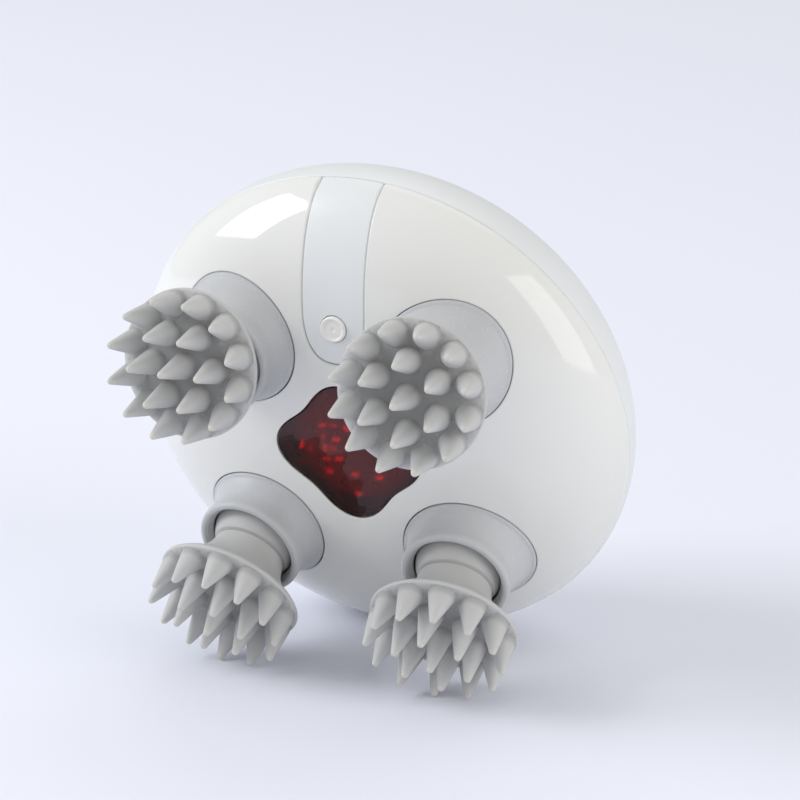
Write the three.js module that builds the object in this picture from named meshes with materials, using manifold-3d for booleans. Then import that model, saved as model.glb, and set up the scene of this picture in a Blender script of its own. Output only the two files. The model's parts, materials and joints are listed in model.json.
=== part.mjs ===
// Electric scalp massager: a round palm-held body whose four massage heads are rocked, without spinning,
// by inclined crank pins. Four crank gears mesh with one drive gear on the body axis.
// Body frame while modelling: X to the side, Y towards the tongue panel, Z out of the face towards the heads.
// Units are millimetres and degrees. The last group leans the body onto its rim and its two lower heads.
import * as THREE from "three";
import { mergeVertices } from "three/addons/utils/BufferGeometryUtils.js";
import Module from "manifold-3d";

const wasm = await Module();
wasm.setup();

// Fits
const GAP = 0.3;
const RUNNING_GAP = 0.3;
const SEAM_GAP = 0.3;
const FACET_GAP = 0.3;

// Body shells
const BODY_R = 56;
const FACE_H = 20.15;
const FACE_FLATNESS = 3.113;
const FACE_SHOULDER = 1.813;
const REAR_SEMI_DEPTH = 33.2;
const REST_FLAT_R = 13.6;
const WALL = 2.2;
const LIP_H = 1.8;
const LIP_T = 1.6;
const SEAL_H = 0.8;

// Window in the middle of the face, with four lobes
const WINDOW_R = 14.75;
const WINDOW_LOBE = 1.7;
const LENS_T = 1.2;
const SHROUD_INSET = 0.1;
const SHROUD_T = 0.6;
const LED_BOARD_R = 13;
const LED_BOARD_T = 1.2;
const LED_BOARD_DEPTH = 3.95;
const LED_BOARD_TOP_Z = FACE_H - LED_BOARD_DEPTH;
const LED_SIZE = 1.8;
const LED_H = 0.8;
const LED_PITCH = 4.6;

// Tongue panel and its push button
const TONGUE_HALF_W = 7;
const BUTTON_Y = 0.5375 * BODY_R;
const BUTTON_TO_END = 8.1;
const TONGUE_END_Y = BUTTON_Y - BUTTON_TO_END;
const TONGUE_ROUND_LENGTH = 13;
const TONGUE_ROUND_POWER = 2.6;
const BUTTON_R = 2.85;
const BUTTON_PROUD = 0.45;
const BUTTON_RIM_W = 0.6;
const BUTTON_DISH = 0.35;
const BUTTON_DIMPLE_R = 0.8;
const BUTTON_FLANGE = 0.9;
const BUTTON_TRAVEL = 0.6;
const BUTTON_STEM_R = 1.2;
const BUTTON_STEM_L = 0.8;
const SWITCH_W = 6;
const SWITCH_H = 1.4;
const SWITCH_PLUNGER_R = 1.6;
const SWITCH_PLUNGER_H = 0.5;

// Massage heads, halfway between the free middle and the rim: pivots, lean of the axes and rocking angle
const HEADS_FREE_R = 11;
const PIVOT_XY = ((BODY_R + HEADS_FREE_R) / 2) * Math.SQRT1_2;
const PIVOT_RISE = 0.7;
const PIVOT_Z = FACE_H + PIVOT_RISE;
const AXIS_SLOPE = 0.09;
const CRANK_TILT = 14.4;
const HEADS = [
  { name: "top_left", side: -1, up: 1, innerTurn: 0, settled: 0.5 },
  { name: "top_right", side: 1, up: 1, innerTurn: 30, settled: 0.3 },
  { name: "bottom_left", side: -1, up: -1, innerTurn: 0, settled: 4.5 },
  { name: "bottom_right", side: 1, up: -1, innerTurn: 30, settled: 1.4 },
];

// Collars around the heads' necks
const COLLAR_R = 13.9;
const COLLAR_FLANGE_R = 16;
const COLLAR_FLANGE_T = 1.2;
const COLLAR_FLANGE_BORE_R = 10.4;
const COLLAR_LIP_R = 11.9;
const COLLAR_WAIST_R = 11.4;
const COLLAR_MOUTH_R = 10.2;
const COLLAR_RING_R = 8.6;
const COLLAR_RING_BOTTOM = -0.6;
const COLLAR_RING_TOP = 0.4;
const COLLAR_RECESS_FLOOR = 1;
const COLLAR_WAIST_H = 1.4;
const COLLAR_TOP = 5.75;

// Head pads, with heights along the head's own axis from its pivot
const NECK_R = 7.6;
const NECK_BOTTOM = 0.8;
const BEAD_R = 8.35;
const BEAD_BOTTOM = 3.4;
const BEAD_TOP = 4.5;
const FLARE_START = 5;
const FLARE = { lowR: 8.1, lowH: 5.8, midR: 8.35, midH: 8, outR: 9.4, outH: 9.2, topR: 12, topH: 12.4 };
const PAD_R = 16;
const PAD_EDGE_H = 15.4;
const PAD_EDGE_T = 0.9;
const PAD_EDGE_BEVEL = 0.4;
const PAD_CROWN_H = 18;
const CONE_R = 2.9;
const CONE_TIP_R = 0.85;
const CONE_ROOT = 1.2;
const CROWN_R = 10.3;
const OUTER_CONES = { count: 12, baseR: 12.9, tipR: 14.72, tipH: 25.1 };
const INNER_CONES = { count: 6, baseR: 7.4, tipR: 8.15, tipH: 27.14 };
const CENTRE_CONE = { count: 1, baseR: 0, tipR: 0, tipH: 28 };

// Head cores, crank shafts and their clips
const CORE_HUB_R = 6.2;
const CORE_BOTTOM = 4.7;
const CORE_FLANGE_R = 11;
const CORE_FLANGE_BOTTOM = 13.2;
const CORE_FLANGE_T = 2;
const CLIP_RECESS_R = 4.3;
const CLIP_R = 3.9;
const CLIP_T = 0.7;
const CLIP_MOUTH = 2.6;
const PIN_R = 2.5;
const PIN_GROOVE_R = 1.8;
const SHAFT_R = 3;
const SHAFT_HUB_R = 3.6;
const SHOULDER_R = 4.8;
const SHOULDER_T = 0.9;
const BUSH_TOP = -5.2;
const BUSH_L = 6.5;
const BUSH_T = 1.2;
const BOSS_T = 1.8;

// Gears
const GEAR_TEETH = 16;
const GEAR_T = 4.5;
const GEAR_MID = -17.25;
const ADDENDUM = 0.9;
const DEDENDUM = 1.15;
const TIP_HALF_ANGLE = 2.1;
const ROOT_HALF_ANGLE = 7.2;
const KEY_FLAT = 0.6;

// Gearbox plates, motor and electronics
const COVER_R = 0.73 * BODY_R;
const BASE_RIM = 2;
const BASE_R = COVER_R + BASE_RIM;
const PLATE_T = 2;
const COVER_DROP = 12.05;
const COVER_BOTTOM_Z = PIVOT_Z - COVER_DROP;
const BASE_DROP = 22.15;
const BASE_TOP_Z = PIVOT_Z - BASE_DROP;
const STANDOFF_R = 4;
const STANDOFF_POLAR_R = COVER_R - STANDOFF_R;
const STANDOFF_ANGLES = [0, 180, 270];
const SCREW_R = 1.5;
const SCREW_HEAD_R = 2.7;
const SCREW_HEAD_H = 1.8;
const SCREW_REACH = 4.2;
const SCREW_TOP_Z = COVER_BOTTOM_Z + SCREW_REACH;
const DRIVE_SHAFT_R = 2.5;
const GEARHEAD_R = 18;
const GEARHEAD_H = 11;
const MOTOR_R = 12.2;
const ROOM_BEHIND_MOTOR = 6.6;
const MOTOR_L = REAR_SEMI_DEPTH + BASE_TOP_Z - PLATE_T - GEARHEAD_H - ROOM_BEHIND_MOTOR;
const MOTOR_BOSS_R = 3;
const COIL_R = 12.5;
const COIL_HOLE_R = 7;
const COIL_T = 1;
const BATTERY_DROP = 4.6;
const BATTERY = { w: 34, l: 20, h: 8, y: -0.575 * BODY_R, topZ: BASE_TOP_Z - BATTERY_DROP, corner: 2.5 };
const BOARD_DROP = 5.7;
const BOARD = { w: 36, l: 20, t: 1.6, y: 0.57 * BODY_R, topZ: BASE_TOP_Z - BOARD_DROP };
const RIB_T = 1.5;

// Colours, roughness and metalness
const FINISHES = {
  glossWhite: { color: 0xe9eaea, roughness: 0.22, metalness: 0 },
  satinWhite: { color: 0xdfe5ea, roughness: 0.5, metalness: 0 },
  greySilicone: { color: 0xb9bcc0, roughness: 0.62, metalness: 0 },
  darkRedLens: { color: 0x3d1218, roughness: 0.08, metalness: 0 },
  blackPlastic: { color: 0x17181a, roughness: 0.45, metalness: 0 },
  blackRubber: { color: 0x2a2a2c, roughness: 0.8, metalness: 0 },
  naturalPlastic: { color: 0xd9d6c8, roughness: 0.55, metalness: 0 },
  gearPlastic: { color: 0xf0eee2, roughness: 0.4, metalness: 0 },
  steel: { color: 0xa9adb2, roughness: 0.3, metalness: 1 },
  bronze: { color: 0xa9793f, roughness: 0.4, metalness: 1 },
  copper: { color: 0xb4632f, roughness: 0.35, metalness: 1 },
  circuitBoard: { color: 0x14502f, roughness: 0.5, metalness: 0 },
  batteryWrap: { color: 0x2f5fa8, roughness: 0.45, metalness: 0 },
};

// Sides of the round pieces, from the shells down to the pins
const BODY_SIDES = 40;
const PLATE_SIDES = 24;
const SMALL_SIDES = 8;

const radians = THREE.MathUtils.degToRad;
const Z_AXIS = new THREE.Vector3(0, 0, 1);

// A manifold solid from a closed three.js geometry, turned outward if it faces inward.
function solidOf(geometry) {
  const bare = geometry.clone();
  bare.deleteAttribute("normal");
  bare.deleteAttribute("uv");
  const merged = mergeVertices(bare, 1e-4);
  const vertProperties = new Float32Array(merged.attributes.position.array);
  const triVerts = new Uint32Array(merged.index.array);
  const made = new wasm.Manifold(new wasm.Mesh({ numProp: 3, vertProperties, triVerts }));
  if (made.volume() > 0) return made;
  for (let i = 0; i < triVerts.length; i += 3) {
    [triVerts[i + 1], triVerts[i + 2]] = [triVerts[i + 2], triVerts[i + 1]];
  }
  return new wasm.Manifold(new wasm.Mesh({ numProp: 3, vertProperties, triVerts }));
}

function geometryOf(solid) {
  const { vertProperties, triVerts } = solid.getMesh();
  const geometry = new THREE.BufferGeometry();
  geometry.setAttribute("position", new THREE.BufferAttribute(new Float32Array(vertProperties), 3));
  geometry.setIndex(new THREE.BufferAttribute(new Uint32Array(triVerts), 1));
  geometry.computeVertexNormals();
  return geometry;
}

// A solid of revolution about Z from [radius, height] points.
function revolve(points, segments, turn = 0) {
  const profile = points.map(([r, z]) => new THREE.Vector2(r, z));
  const geometry = new THREE.LatheGeometry(profile, segments).rotateX(Math.PI / 2);
  return solidOf(geometry.rotateZ(radians(turn)));
}

// A tube or ring of revolution, whose profile closes on itself.
function revolveRing(points, segments) {
  return revolve([...points, points[0]], segments);
}

function cylinder(radius, bottom, top, segments = 24) {
  return revolve([[0, bottom], [radius, bottom], [radius, top], [0, top]], segments);
}

function box(width, length, height, x, y, z) {
  return solidOf(new THREE.BoxGeometry(width, length, height).translate(x, y, z));
}

function extrude(shape, bottom, top, curveSegments = 6) {
  const options = { depth: top - bottom, bevelEnabled: false, curveSegments };
  return solidOf(new THREE.ExtrudeGeometry(shape, options).translate(0, 0, bottom));
}

function shapeFrom(points) {
  return new THREE.Shape(points.map(([x, y]) => new THREE.Vector2(x, y)));
}

function moved(solid, x, y, z = 0) {
  return solid.translate([x, y, z]);
}

function placed(solid, matrix) {
  return solid.transform(matrix.elements);
}

// A closed skin through rings of points, where the last ring joins the first.
function ringLoft(rings) {
  const count = rings[0].length;
  const positions = rings.flat().flatMap((point) => point.toArray());
  const index = [];
  rings.forEach((ring, i) => {
    const next = (i + 1) % rings.length;
    for (let j = 0; j < count; j += 1) {
      const k = (j + 1) % count;
      index.push(i * count + j, i * count + k, next * count + k);
      index.push(i * count + j, next * count + k, next * count + j);
    }
  });
  const geometry = new THREE.BufferGeometry();
  geometry.setAttribute("position", new THREE.Float32BufferAttribute(positions, 3));
  geometry.setIndex(index);
  return solidOf(geometry);
}

const root = new THREE.Group();

function addPiece(name, solid, finish) {
  const mesh = new THREE.Mesh(geometryOf(solid), new THREE.MeshStandardMaterial(FINISHES[finish]));
  mesh.name = name;
  root.add(mesh);
  return mesh;
}

// Face dome: flat in the middle, with a round shoulder down to the seam.
function domeHeight(r, inset = 0) {
  const u = Math.min(1, r / (BODY_R - inset));
  return (FACE_H - inset) * (1 - u ** FACE_FLATNESS) ** (1 / FACE_SHOULDER);
}

function domeRadius(z, inset = 0) {
  const v = z / (FACE_H - inset);
  return (BODY_R - inset) * (1 - v ** FACE_SHOULDER) ** (1 / FACE_FLATNESS);
}

function domeSlope(r) {
  const step = 0.01;
  return (domeHeight(r + step) - domeHeight(r - step)) / (2 * step);
}

function domeCurve(inset, steps) {
  const points = [];
  for (let i = 0; i <= steps; i += 1) {
    const angle = (i / steps) * (Math.PI / 2);
    const r = (BODY_R - inset) * Math.sin(angle) ** (2 / FACE_FLATNESS);
    const z = (FACE_H - inset) * Math.max(0, Math.cos(angle)) ** (2 / FACE_SHOULDER);
    points.push([r, Math.max(z, SEAM_GAP / 2)]);
  }
  return points;
}

function domeShell() {
  const outer = domeCurve(0, 11);
  const inner = domeCurve(WALL, 6).reverse();
  return revolve([...outer, ...inner], BODY_SIDES);
}

// Rear cover: part of an ellipsoid, cut flat at its pole.
const REAR_DEPTH = REAR_SEMI_DEPTH * Math.sqrt(1 - (REST_FLAT_R / BODY_R) ** 2);

function rearCurve(inset, steps) {
  const radius = BODY_R - inset;
  const semi = REAR_SEMI_DEPTH - inset;
  const depth = REAR_DEPTH - inset;
  const start = Math.acos(depth / semi);
  const points = [[0, -depth]];
  for (let i = 0; i <= steps; i += 1) {
    const angle = start + (i / steps) * (Math.PI / 2 - start);
    points.push([radius * Math.sin(angle), Math.min(-semi * Math.cos(angle), -SEAM_GAP / 2)]);
  }
  return points;
}

// The rear cover's lip fits inside the face shell and carries the flat seal on its top.
const LIP_R = domeRadius(LIP_H + GAP + SEAL_H, WALL) - GAP - FACET_GAP;

function makeRearCover() {
  const outer = rearCurve(0, 8);
  const innerCurve = rearCurve(WALL, 3).reverse();
  const lip = [
    [LIP_R, -SEAM_GAP / 2],
    [LIP_R, LIP_H],
    [LIP_R - LIP_T, LIP_H],
    [LIP_R - LIP_T, -SEAM_GAP / 2 - LIP_T],
  ];
  const inner = innerCurve.filter(([r]) => r < LIP_R - LIP_T);
  let cover = revolve([...outer, ...lip, ...inner], BODY_SIDES);
  const cavity = revolve([...rearCurve(WALL / 2, 3), [0, -SEAM_GAP]], BODY_SIDES);
  const ribTop = BATTERY.topZ - BATTERY.h - GAP;
  for (const side of [-1, 1]) {
    const x = side * (BATTERY.w / 2 - 5);
    const rib = box(RIB_T, BATTERY.l, REAR_DEPTH, x, BATTERY.y, ribTop - REAR_DEPTH / 2);
    cover = cover.add(rib.intersect(cavity));
  }
  addPiece("rear_cover", cover, "satinWhite");
  const seal = [
    [LIP_R - LIP_T, LIP_H + GAP],
    [LIP_R, LIP_H + GAP],
    [LIP_R, LIP_H + GAP + SEAL_H],
    [LIP_R - LIP_T, LIP_H + GAP + SEAL_H],
  ];
  addPiece("seam_seal", revolveRing(seal, BODY_SIDES), "blackRubber");
}

// Outline of the four-lobed window, grown by an offset.
function windowShape(offset) {
  const points = [];
  const steps = 32;
  for (let i = 0; i < steps; i += 1) {
    const angle = (i / steps) * 2 * Math.PI;
    const r = WINDOW_R + offset + WINDOW_LOBE * Math.cos(4 * angle);
    points.push([r * Math.cos(angle), r * Math.sin(angle)]);
  }
  return shapeFrom(points);
}

// Outline of the tongue, straight from the rim and then rounded to its end.
function tongueShape(offset) {
  const width = TONGUE_HALF_W + offset;
  const length = TONGUE_ROUND_LENGTH + offset;
  const startY = TONGUE_END_Y + TONGUE_ROUND_LENGTH;
  const points = [];
  const steps = 12;
  for (let i = 0; i <= steps; i += 1) {
    const angle = (i / steps) * Math.PI;
    const across = Math.sign(Math.cos(angle)) * Math.abs(Math.cos(angle)) ** (2 / TONGUE_ROUND_POWER);
    points.push([width * across, startY - length * Math.sin(angle) ** (2 / TONGUE_ROUND_POWER)]);
  }
  points.push([-width, 2 * BODY_R], [width, 2 * BODY_R]);
  return shapeFrom(points);
}

// Button frame: its origin on the dome, its Z along the dome's normal.
function buttonMatrix() {
  const normal = new THREE.Vector3(0, -domeSlope(BUTTON_Y), 1).normalize();
  const turn = new THREE.Quaternion().setFromUnitVectors(Z_AXIS, normal);
  const place = new THREE.Vector3(0, BUTTON_Y, domeHeight(BUTTON_Y));
  return new THREE.Matrix4().compose(place, turn, new THREE.Vector3(1, 1, 1));
}

const COLLAR_HOLE_R = COLLAR_R + GAP;
const COVER_TOP_Z = COVER_BOTTOM_Z + PLATE_T;
const BASE_BOTTOM_Z = BASE_TOP_Z - PLATE_T;

function polar(radius, angle) {
  return [radius * Math.cos(radians(angle)), radius * Math.sin(radians(angle))];
}

function makeFaceShell(shell) {
  let face = shell.subtract(extrude(windowShape(GAP), 0, 2 * FACE_H));
  face = face.subtract(extrude(tongueShape(GAP), -FACE_H, 2 * FACE_H));
  for (const { side, up } of HEADS) {
    const hole = cylinder(COLLAR_HOLE_R, 0, 2 * FACE_H, PLATE_SIDES);
    face = face.subtract(moved(hole, side * PIVOT_XY, up * PIVOT_XY));
  }
  const inside = revolve([...domeCurve(WALL / 2, 4), [0, SEAM_GAP / 2]], BODY_SIDES);
  for (const angle of STANDOFF_ANGLES) {
    const [x, y] = polar(STANDOFF_POLAR_R, angle);
    const post = moved(cylinder(STANDOFF_R, COVER_TOP_Z + GAP, FACE_H, SMALL_SIDES), x, y);
    const bore = moved(cylinder(SCREW_R + GAP, 0, SCREW_TOP_Z + GAP, SMALL_SIDES), x, y);
    face = face.add(post.intersect(inside)).subtract(bore);
  }
  addPiece("face_shell", face, "glossWhite");
}

function makeTonguePanel(shell) {
  const place = buttonMatrix();
  const panel = shell.intersect(extrude(tongueShape(0), -FACE_H, 2 * FACE_H));
  const bore = placed(cylinder(BUTTON_R + GAP, -4 * WALL, 4 * WALL, 16), place);
  addPiece("tongue_panel", panel.subtract(bore), "satinWhite");
}

// Push button with a raised rim, a dished top, a small dimple and a flange that stops it from falling out.
function makeButton() {
  const place = buttonMatrix();
  const dishZ = BUTTON_PROUD - BUTTON_DISH;
  const flangeTop = -WALL - GAP - FACET_GAP;
  const flangeBottom = flangeTop - 0.8;
  const stemEnd = flangeBottom - BUTTON_STEM_L;
  const profile = [
    [0, stemEnd],
    [BUTTON_STEM_R, stemEnd],
    [BUTTON_STEM_R, flangeBottom],
    [BUTTON_R + BUTTON_FLANGE, flangeBottom],
    [BUTTON_R + BUTTON_FLANGE, flangeTop],
    [BUTTON_R, flangeTop],
    [BUTTON_R, BUTTON_PROUD - 0.2],
    [BUTTON_R - 0.2, BUTTON_PROUD],
    [BUTTON_R - BUTTON_RIM_W, BUTTON_PROUD],
    [BUTTON_R - BUTTON_RIM_W - 0.3, dishZ],
    [BUTTON_DIMPLE_R, dishZ],
    [0, dishZ - 0.25],
  ];
  addPiece("power_button", placed(revolve(profile, 16), place), "satinWhite");
  const plungerTop = stemEnd - BUTTON_TRAVEL - 0.1;
  const bodyTop = plungerTop - SWITCH_PLUNGER_H;
  const body = box(SWITCH_W, SWITCH_W, SWITCH_H, 0, 0, bodyTop - SWITCH_H / 2);
  const plunger = cylinder(SWITCH_PLUNGER_R, bodyTop - 0.2, plungerTop, SMALL_SIDES);
  addPiece("button_switch", placed(body.add(plunger), place), "blackPlastic");
  return bodyTop - SWITCH_H;
}

function makeWindow(shell) {
  const lensBottom = domeHeight(WINDOW_R) - LENS_T;
  const upper = extrude(windowShape(0), lensBottom, 2 * FACE_H);
  addPiece("window_lens", shell.intersect(upper), "darkRedLens");
  const outer = extrude(windowShape(-SHROUD_INSET), LED_BOARD_TOP_Z + GAP, lensBottom - GAP);
  const inner = extrude(windowShape(-SHROUD_INSET - SHROUD_T), 0, FACE_H);
  addPiece("light_shroud", outer.subtract(inner), "blackPlastic");
  let board = cylinder(LED_BOARD_R, LED_BOARD_TOP_Z - LED_BOARD_T, LED_BOARD_TOP_Z, PLATE_SIDES);
  const ledMid = LED_BOARD_TOP_Z + LED_H / 2 - 0.05;
  for (let column = -1; column <= 1; column += 1) {
    for (let row = -1; row <= 1; row += 1) {
      const chip = box(LED_SIZE, LED_SIZE, LED_H + 0.1, column * LED_PITCH, row * LED_PITCH, ledMid);
      board = board.add(chip);
    }
  }
  addPiece("led_board", board, "circuitBoard");
}

// Frames of one head: the crank axis and the inclined pin, which cross at the pivot.
function headFrames({ side, up }) {
  const pivot = new THREE.Vector3(side * PIVOT_XY, up * PIVOT_XY, PIVOT_Z);
  const axis = new THREE.Vector3(side * AXIS_SLOPE, up * AXIS_SLOPE, 1).normalize();
  const inward = new THREE.Vector3(-side, -up, 0).normalize();
  const across = new THREE.Vector3().crossVectors(axis, inward).normalize();
  const toAxis = new THREE.Vector3().crossVectors(across, axis);
  const crank = new THREE.Matrix4().makeBasis(toAxis, across, axis).setPosition(pivot);
  const rock = new THREE.Vector3(0, up, 0).addScaledVector(axis, -up * axis.y).normalize();
  const angle = radians(CRANK_TILT);
  const pin = axis.clone().multiplyScalar(Math.cos(angle)).addScaledVector(rock, Math.sin(angle));
  const padX = new THREE.Vector3(1, 0, 0).addScaledVector(pin, -pin.x).normalize();
  const padY = new THREE.Vector3().crossVectors(pin, padX);
  const head = new THREE.Matrix4().makeBasis(padX, padY, pin).setPosition(pivot);
  return { pivot, axis, pin, crank, head };
}

// Collar: its flange and plug follow the dome along Z, and its lip leans out with the crank axis.
function makeCollar(layout) {
  const { crank } = headFrames(layout);
  const centre = new THREE.Vector3(layout.side * PIVOT_XY, layout.up * PIVOT_XY, 0);
  const turn = Math.atan2(-layout.up, -layout.side);
  const steps = 24;
  const ring = (place) => {
    const points = [];
    for (let i = 0; i < steps; i += 1) points.push(place((i / steps) * 2 * Math.PI));
    return points;
  };
  const onDome = (radius, inset, rise) => (angle) => {
    const point = new THREE.Vector3(Math.cos(turn + angle), Math.sin(turn + angle), 0);
    point.multiplyScalar(radius).add(centre);
    point.z = domeHeight(Math.hypot(point.x, point.y), inset) + rise;
    return point;
  };
  const onAxis = (radius, height) => (angle) =>
    new THREE.Vector3(radius * Math.cos(angle), radius * Math.sin(angle), height).applyMatrix4(crank);
  const between = (first, second, flat, rise) => (angle) => {
    const a = first(angle);
    const b = second(angle);
    return new THREE.Vector3(
      a.x + (b.x - a.x) * flat,
      a.y + (b.y - a.y) * flat,
      a.z + (b.z - a.z) * rise,
    );
  };
  const flangeTop = -GAP - FACET_GAP;
  const foot = onDome(COLLAR_R - 0.3, 0, 0.5);
  const waist = onAxis(COLLAR_WAIST_R, COLLAR_WAIST_H);
  const rings = [
    onDome(COLLAR_FLANGE_BORE_R, WALL, flangeTop - COLLAR_FLANGE_T),
    onDome(COLLAR_FLANGE_R, WALL, flangeTop - COLLAR_FLANGE_T),
    onDome(COLLAR_FLANGE_R, WALL, flangeTop),
    onDome(COLLAR_R, WALL, flangeTop),
    onDome(COLLAR_R, 0, 0),
    foot,
    between(foot, waist, 0.62, 0.38),
    waist,
    onAxis(COLLAR_LIP_R, COLLAR_TOP - 1.4),
    onAxis(COLLAR_LIP_R - 0.5, COLLAR_TOP - 0.1),
    onAxis(COLLAR_MOUTH_R + 0.3, COLLAR_TOP),
    onAxis(COLLAR_MOUTH_R, COLLAR_TOP - 0.6),
    onAxis(COLLAR_MOUTH_R, COLLAR_RECESS_FLOOR),
    onAxis(COLLAR_RING_R, COLLAR_RING_TOP),
    onAxis(COLLAR_RING_R, COLLAR_RING_BOTTOM),
  ];
  addPiece("collar_" + layout.name, ringLoft(rings.map(ring)), "greySilicone");
}

// Height of a pad's front at a radius: a flat crown that falls straight to the rim.
function frontHeight(r) {
  const fall = PAD_CROWN_H - PAD_EDGE_H - PAD_EDGE_T;
  return PAD_CROWN_H - (fall * Math.max(0, r - CROWN_R)) / (PAD_R - PAD_EDGE_BEVEL - CROWN_R);
}

// Massage cone from its root inside the pad to its rounded tip.
function coneSolid({ baseR, tipR, tipH }, angle) {
  const [bx, by] = polar(baseR, angle);
  const [tx, ty] = polar(tipR, angle);
  const base = new THREE.Vector3(bx, by, frontHeight(baseR) - CONE_ROOT);
  const tip = new THREE.Vector3(tx, ty, tipH);
  const lean = tip.clone().sub(base);
  const length = lean.length();
  const profile = [
    [0, 0],
    [CONE_R, 0],
    [CONE_TIP_R, length - 0.55],
    [0, length],
  ];
  const turn = new THREE.Quaternion().setFromUnitVectors(Z_AXIS, lean.normalize());
  const place = new THREE.Matrix4().compose(base, turn, new THREE.Vector3(1, 1, 1));
  return placed(revolve(profile, 6, angle), place);
}

const CORE_TOP = CORE_FLANGE_BOTTOM + CORE_FLANGE_T;

// Soft pad: a mushroom with a hollow beaded neck, a thin rim, a crowned front and three rounds of cones.
function makePad(layout) {
  const { head } = headFrames(layout);
  const edgeTop = PAD_EDGE_H + PAD_EDGE_T;
  const profile = [
    [0, CORE_TOP + GAP],
    [CORE_FLANGE_R + GAP, CORE_TOP + GAP],
    [CORE_FLANGE_R + GAP, CORE_FLANGE_BOTTOM - GAP],
    [CORE_HUB_R + GAP, CORE_FLANGE_BOTTOM - GAP],
    [CORE_HUB_R + GAP, NECK_BOTTOM],
    [NECK_R, NECK_BOTTOM],
    [NECK_R, BEAD_BOTTOM],
    [BEAD_R, BEAD_BOTTOM + 0.3],
    [BEAD_R, BEAD_TOP],
    [NECK_R, FLARE_START],
    [FLARE.lowR, FLARE.lowH],
    [FLARE.midR, FLARE.midH],
    [FLARE.outR, FLARE.outH],
    [FLARE.topR, FLARE.topH],
    [PAD_R, PAD_EDGE_H],
    [PAD_R - PAD_EDGE_BEVEL, edgeTop],
    [CROWN_R, PAD_CROWN_H],
    [0, PAD_CROWN_H],
  ];
  let pad = revolve(profile, 2 * OUTER_CONES.count);
  const rounds = [
    [OUTER_CONES, 180 / OUTER_CONES.count],
    [INNER_CONES, layout.innerTurn],
    [CENTRE_CONE, 0],
  ];
  for (const [round, turn] of rounds) {
    for (let i = 0; i < round.count; i += 1) {
      pad = pad.add(coneSolid(round, turn + (360 * i) / round.count));
    }
  }
  addPiece("head_pad_" + layout.name, placed(pad.rotate([0, 0, layout.settled]), head), "greySilicone");
}

function makeCore(layout) {
  const { head } = headFrames(layout);
  const recessBottom = CORE_FLANGE_BOTTOM - 0.6;
  const profile = [
    [PIN_R + RUNNING_GAP, CORE_BOTTOM],
    [CORE_HUB_R, CORE_BOTTOM],
    [CORE_HUB_R, CORE_FLANGE_BOTTOM],
    [CORE_FLANGE_R, CORE_FLANGE_BOTTOM],
    [CORE_FLANGE_R, CORE_TOP],
    [CLIP_RECESS_R, CORE_TOP],
    [CLIP_RECESS_R, recessBottom],
    [PIN_R + RUNNING_GAP, recessBottom],
  ];
  addPiece("head_core_" + layout.name, placed(revolveRing(profile, SMALL_SIDES), head), "naturalPlastic");
}

// Spring clip in the pin's groove, which keeps the head on its pin.
function makeClip(layout) {
  const { head } = headFrames(layout);
  const bottom = CORE_FLANGE_BOTTOM - 0.6 + GAP;
  const inner = PIN_GROOVE_R + GAP;
  const half = Math.asin(CLIP_MOUTH / 2 / CLIP_R);
  const innerHalf = Math.asin(CLIP_MOUTH / 2 / inner);
  const shape = new THREE.Shape();
  shape.absarc(0, 0, CLIP_R, half, 2 * Math.PI - half, false);
  shape.absarc(0, 0, inner, 2 * Math.PI - innerHalf, innerHalf, true);
  shape.closePath();
  addPiece("pin_clip_" + layout.name, placed(extrude(shape, bottom, bottom + CLIP_T, 4), head), "steel");
}

const SHAFT_BOTTOM = (BASE_BOTTOM_Z - PIVOT_Z) * Math.hypot(1, Math.SQRT2 * AXIS_SLOPE);

// Crank shaft: a straight journal, a thrust shoulder and a pin inclined to it, all crossing at the pivot.
function makeCrank(layout) {
  const { crank, head } = headFrames(layout);
  const shoulderBottom = BUSH_TOP + GAP;
  const clipBottom = CORE_FLANGE_BOTTOM - 0.6 + GAP;
  const grooveBottom = clipBottom - 0.15;
  const grooveTop = clipBottom + CLIP_T + 0.15;
  const journal = [
    [0, SHAFT_BOTTOM],
    [SHAFT_R, SHAFT_BOTTOM],
    [SHAFT_R, shoulderBottom],
    [SHOULDER_R, shoulderBottom],
    [SHOULDER_R, shoulderBottom + SHOULDER_T],
    [SHAFT_HUB_R, shoulderBottom + SHOULDER_T],
    [SHAFT_HUB_R, 0.6],
    [SHAFT_HUB_R - 1.2, 1.8],
    [0, 1.8],
  ];
  const pin = [
    [0, -1.5],
    [PIN_R, -1.5],
    [PIN_R, grooveBottom],
    [PIN_GROOVE_R, grooveBottom],
    [PIN_GROOVE_R, grooveTop],
    [PIN_R, grooveTop],
    [PIN_R - 0.4, CORE_TOP - 0.4],
    [0, CORE_TOP - 0.4],
  ];
  const flatWidth = 2 * SHAFT_R;
  const flatBottom = GEAR_MID - GEAR_T / 2;
  const flat = box(flatWidth, flatWidth, GEAR_T, SHAFT_R - KEY_FLAT + SHAFT_R, 0, flatBottom + GEAR_T / 2);
  const straight = placed(revolve(journal, SMALL_SIDES).subtract(flat), crank);
  const shaft = straight.add(placed(revolve(pin, SMALL_SIDES), head));
  addPiece("crank_shaft_" + layout.name, shaft, "steel");
}

function makeBush(layout) {
  const { crank } = headFrames(layout);
  const profile = [
    [SHAFT_R + RUNNING_GAP, BUSH_TOP - BUSH_L],
    [SHAFT_R + RUNNING_GAP + BUSH_T, BUSH_TOP - BUSH_L],
    [SHAFT_R + RUNNING_GAP + BUSH_T, BUSH_TOP],
    [SHAFT_R + RUNNING_GAP, BUSH_TOP],
  ];
  addPiece("crank_bush_" + layout.name, placed(revolveRing(profile, SMALL_SIDES), crank), "bronze");
}

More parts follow.
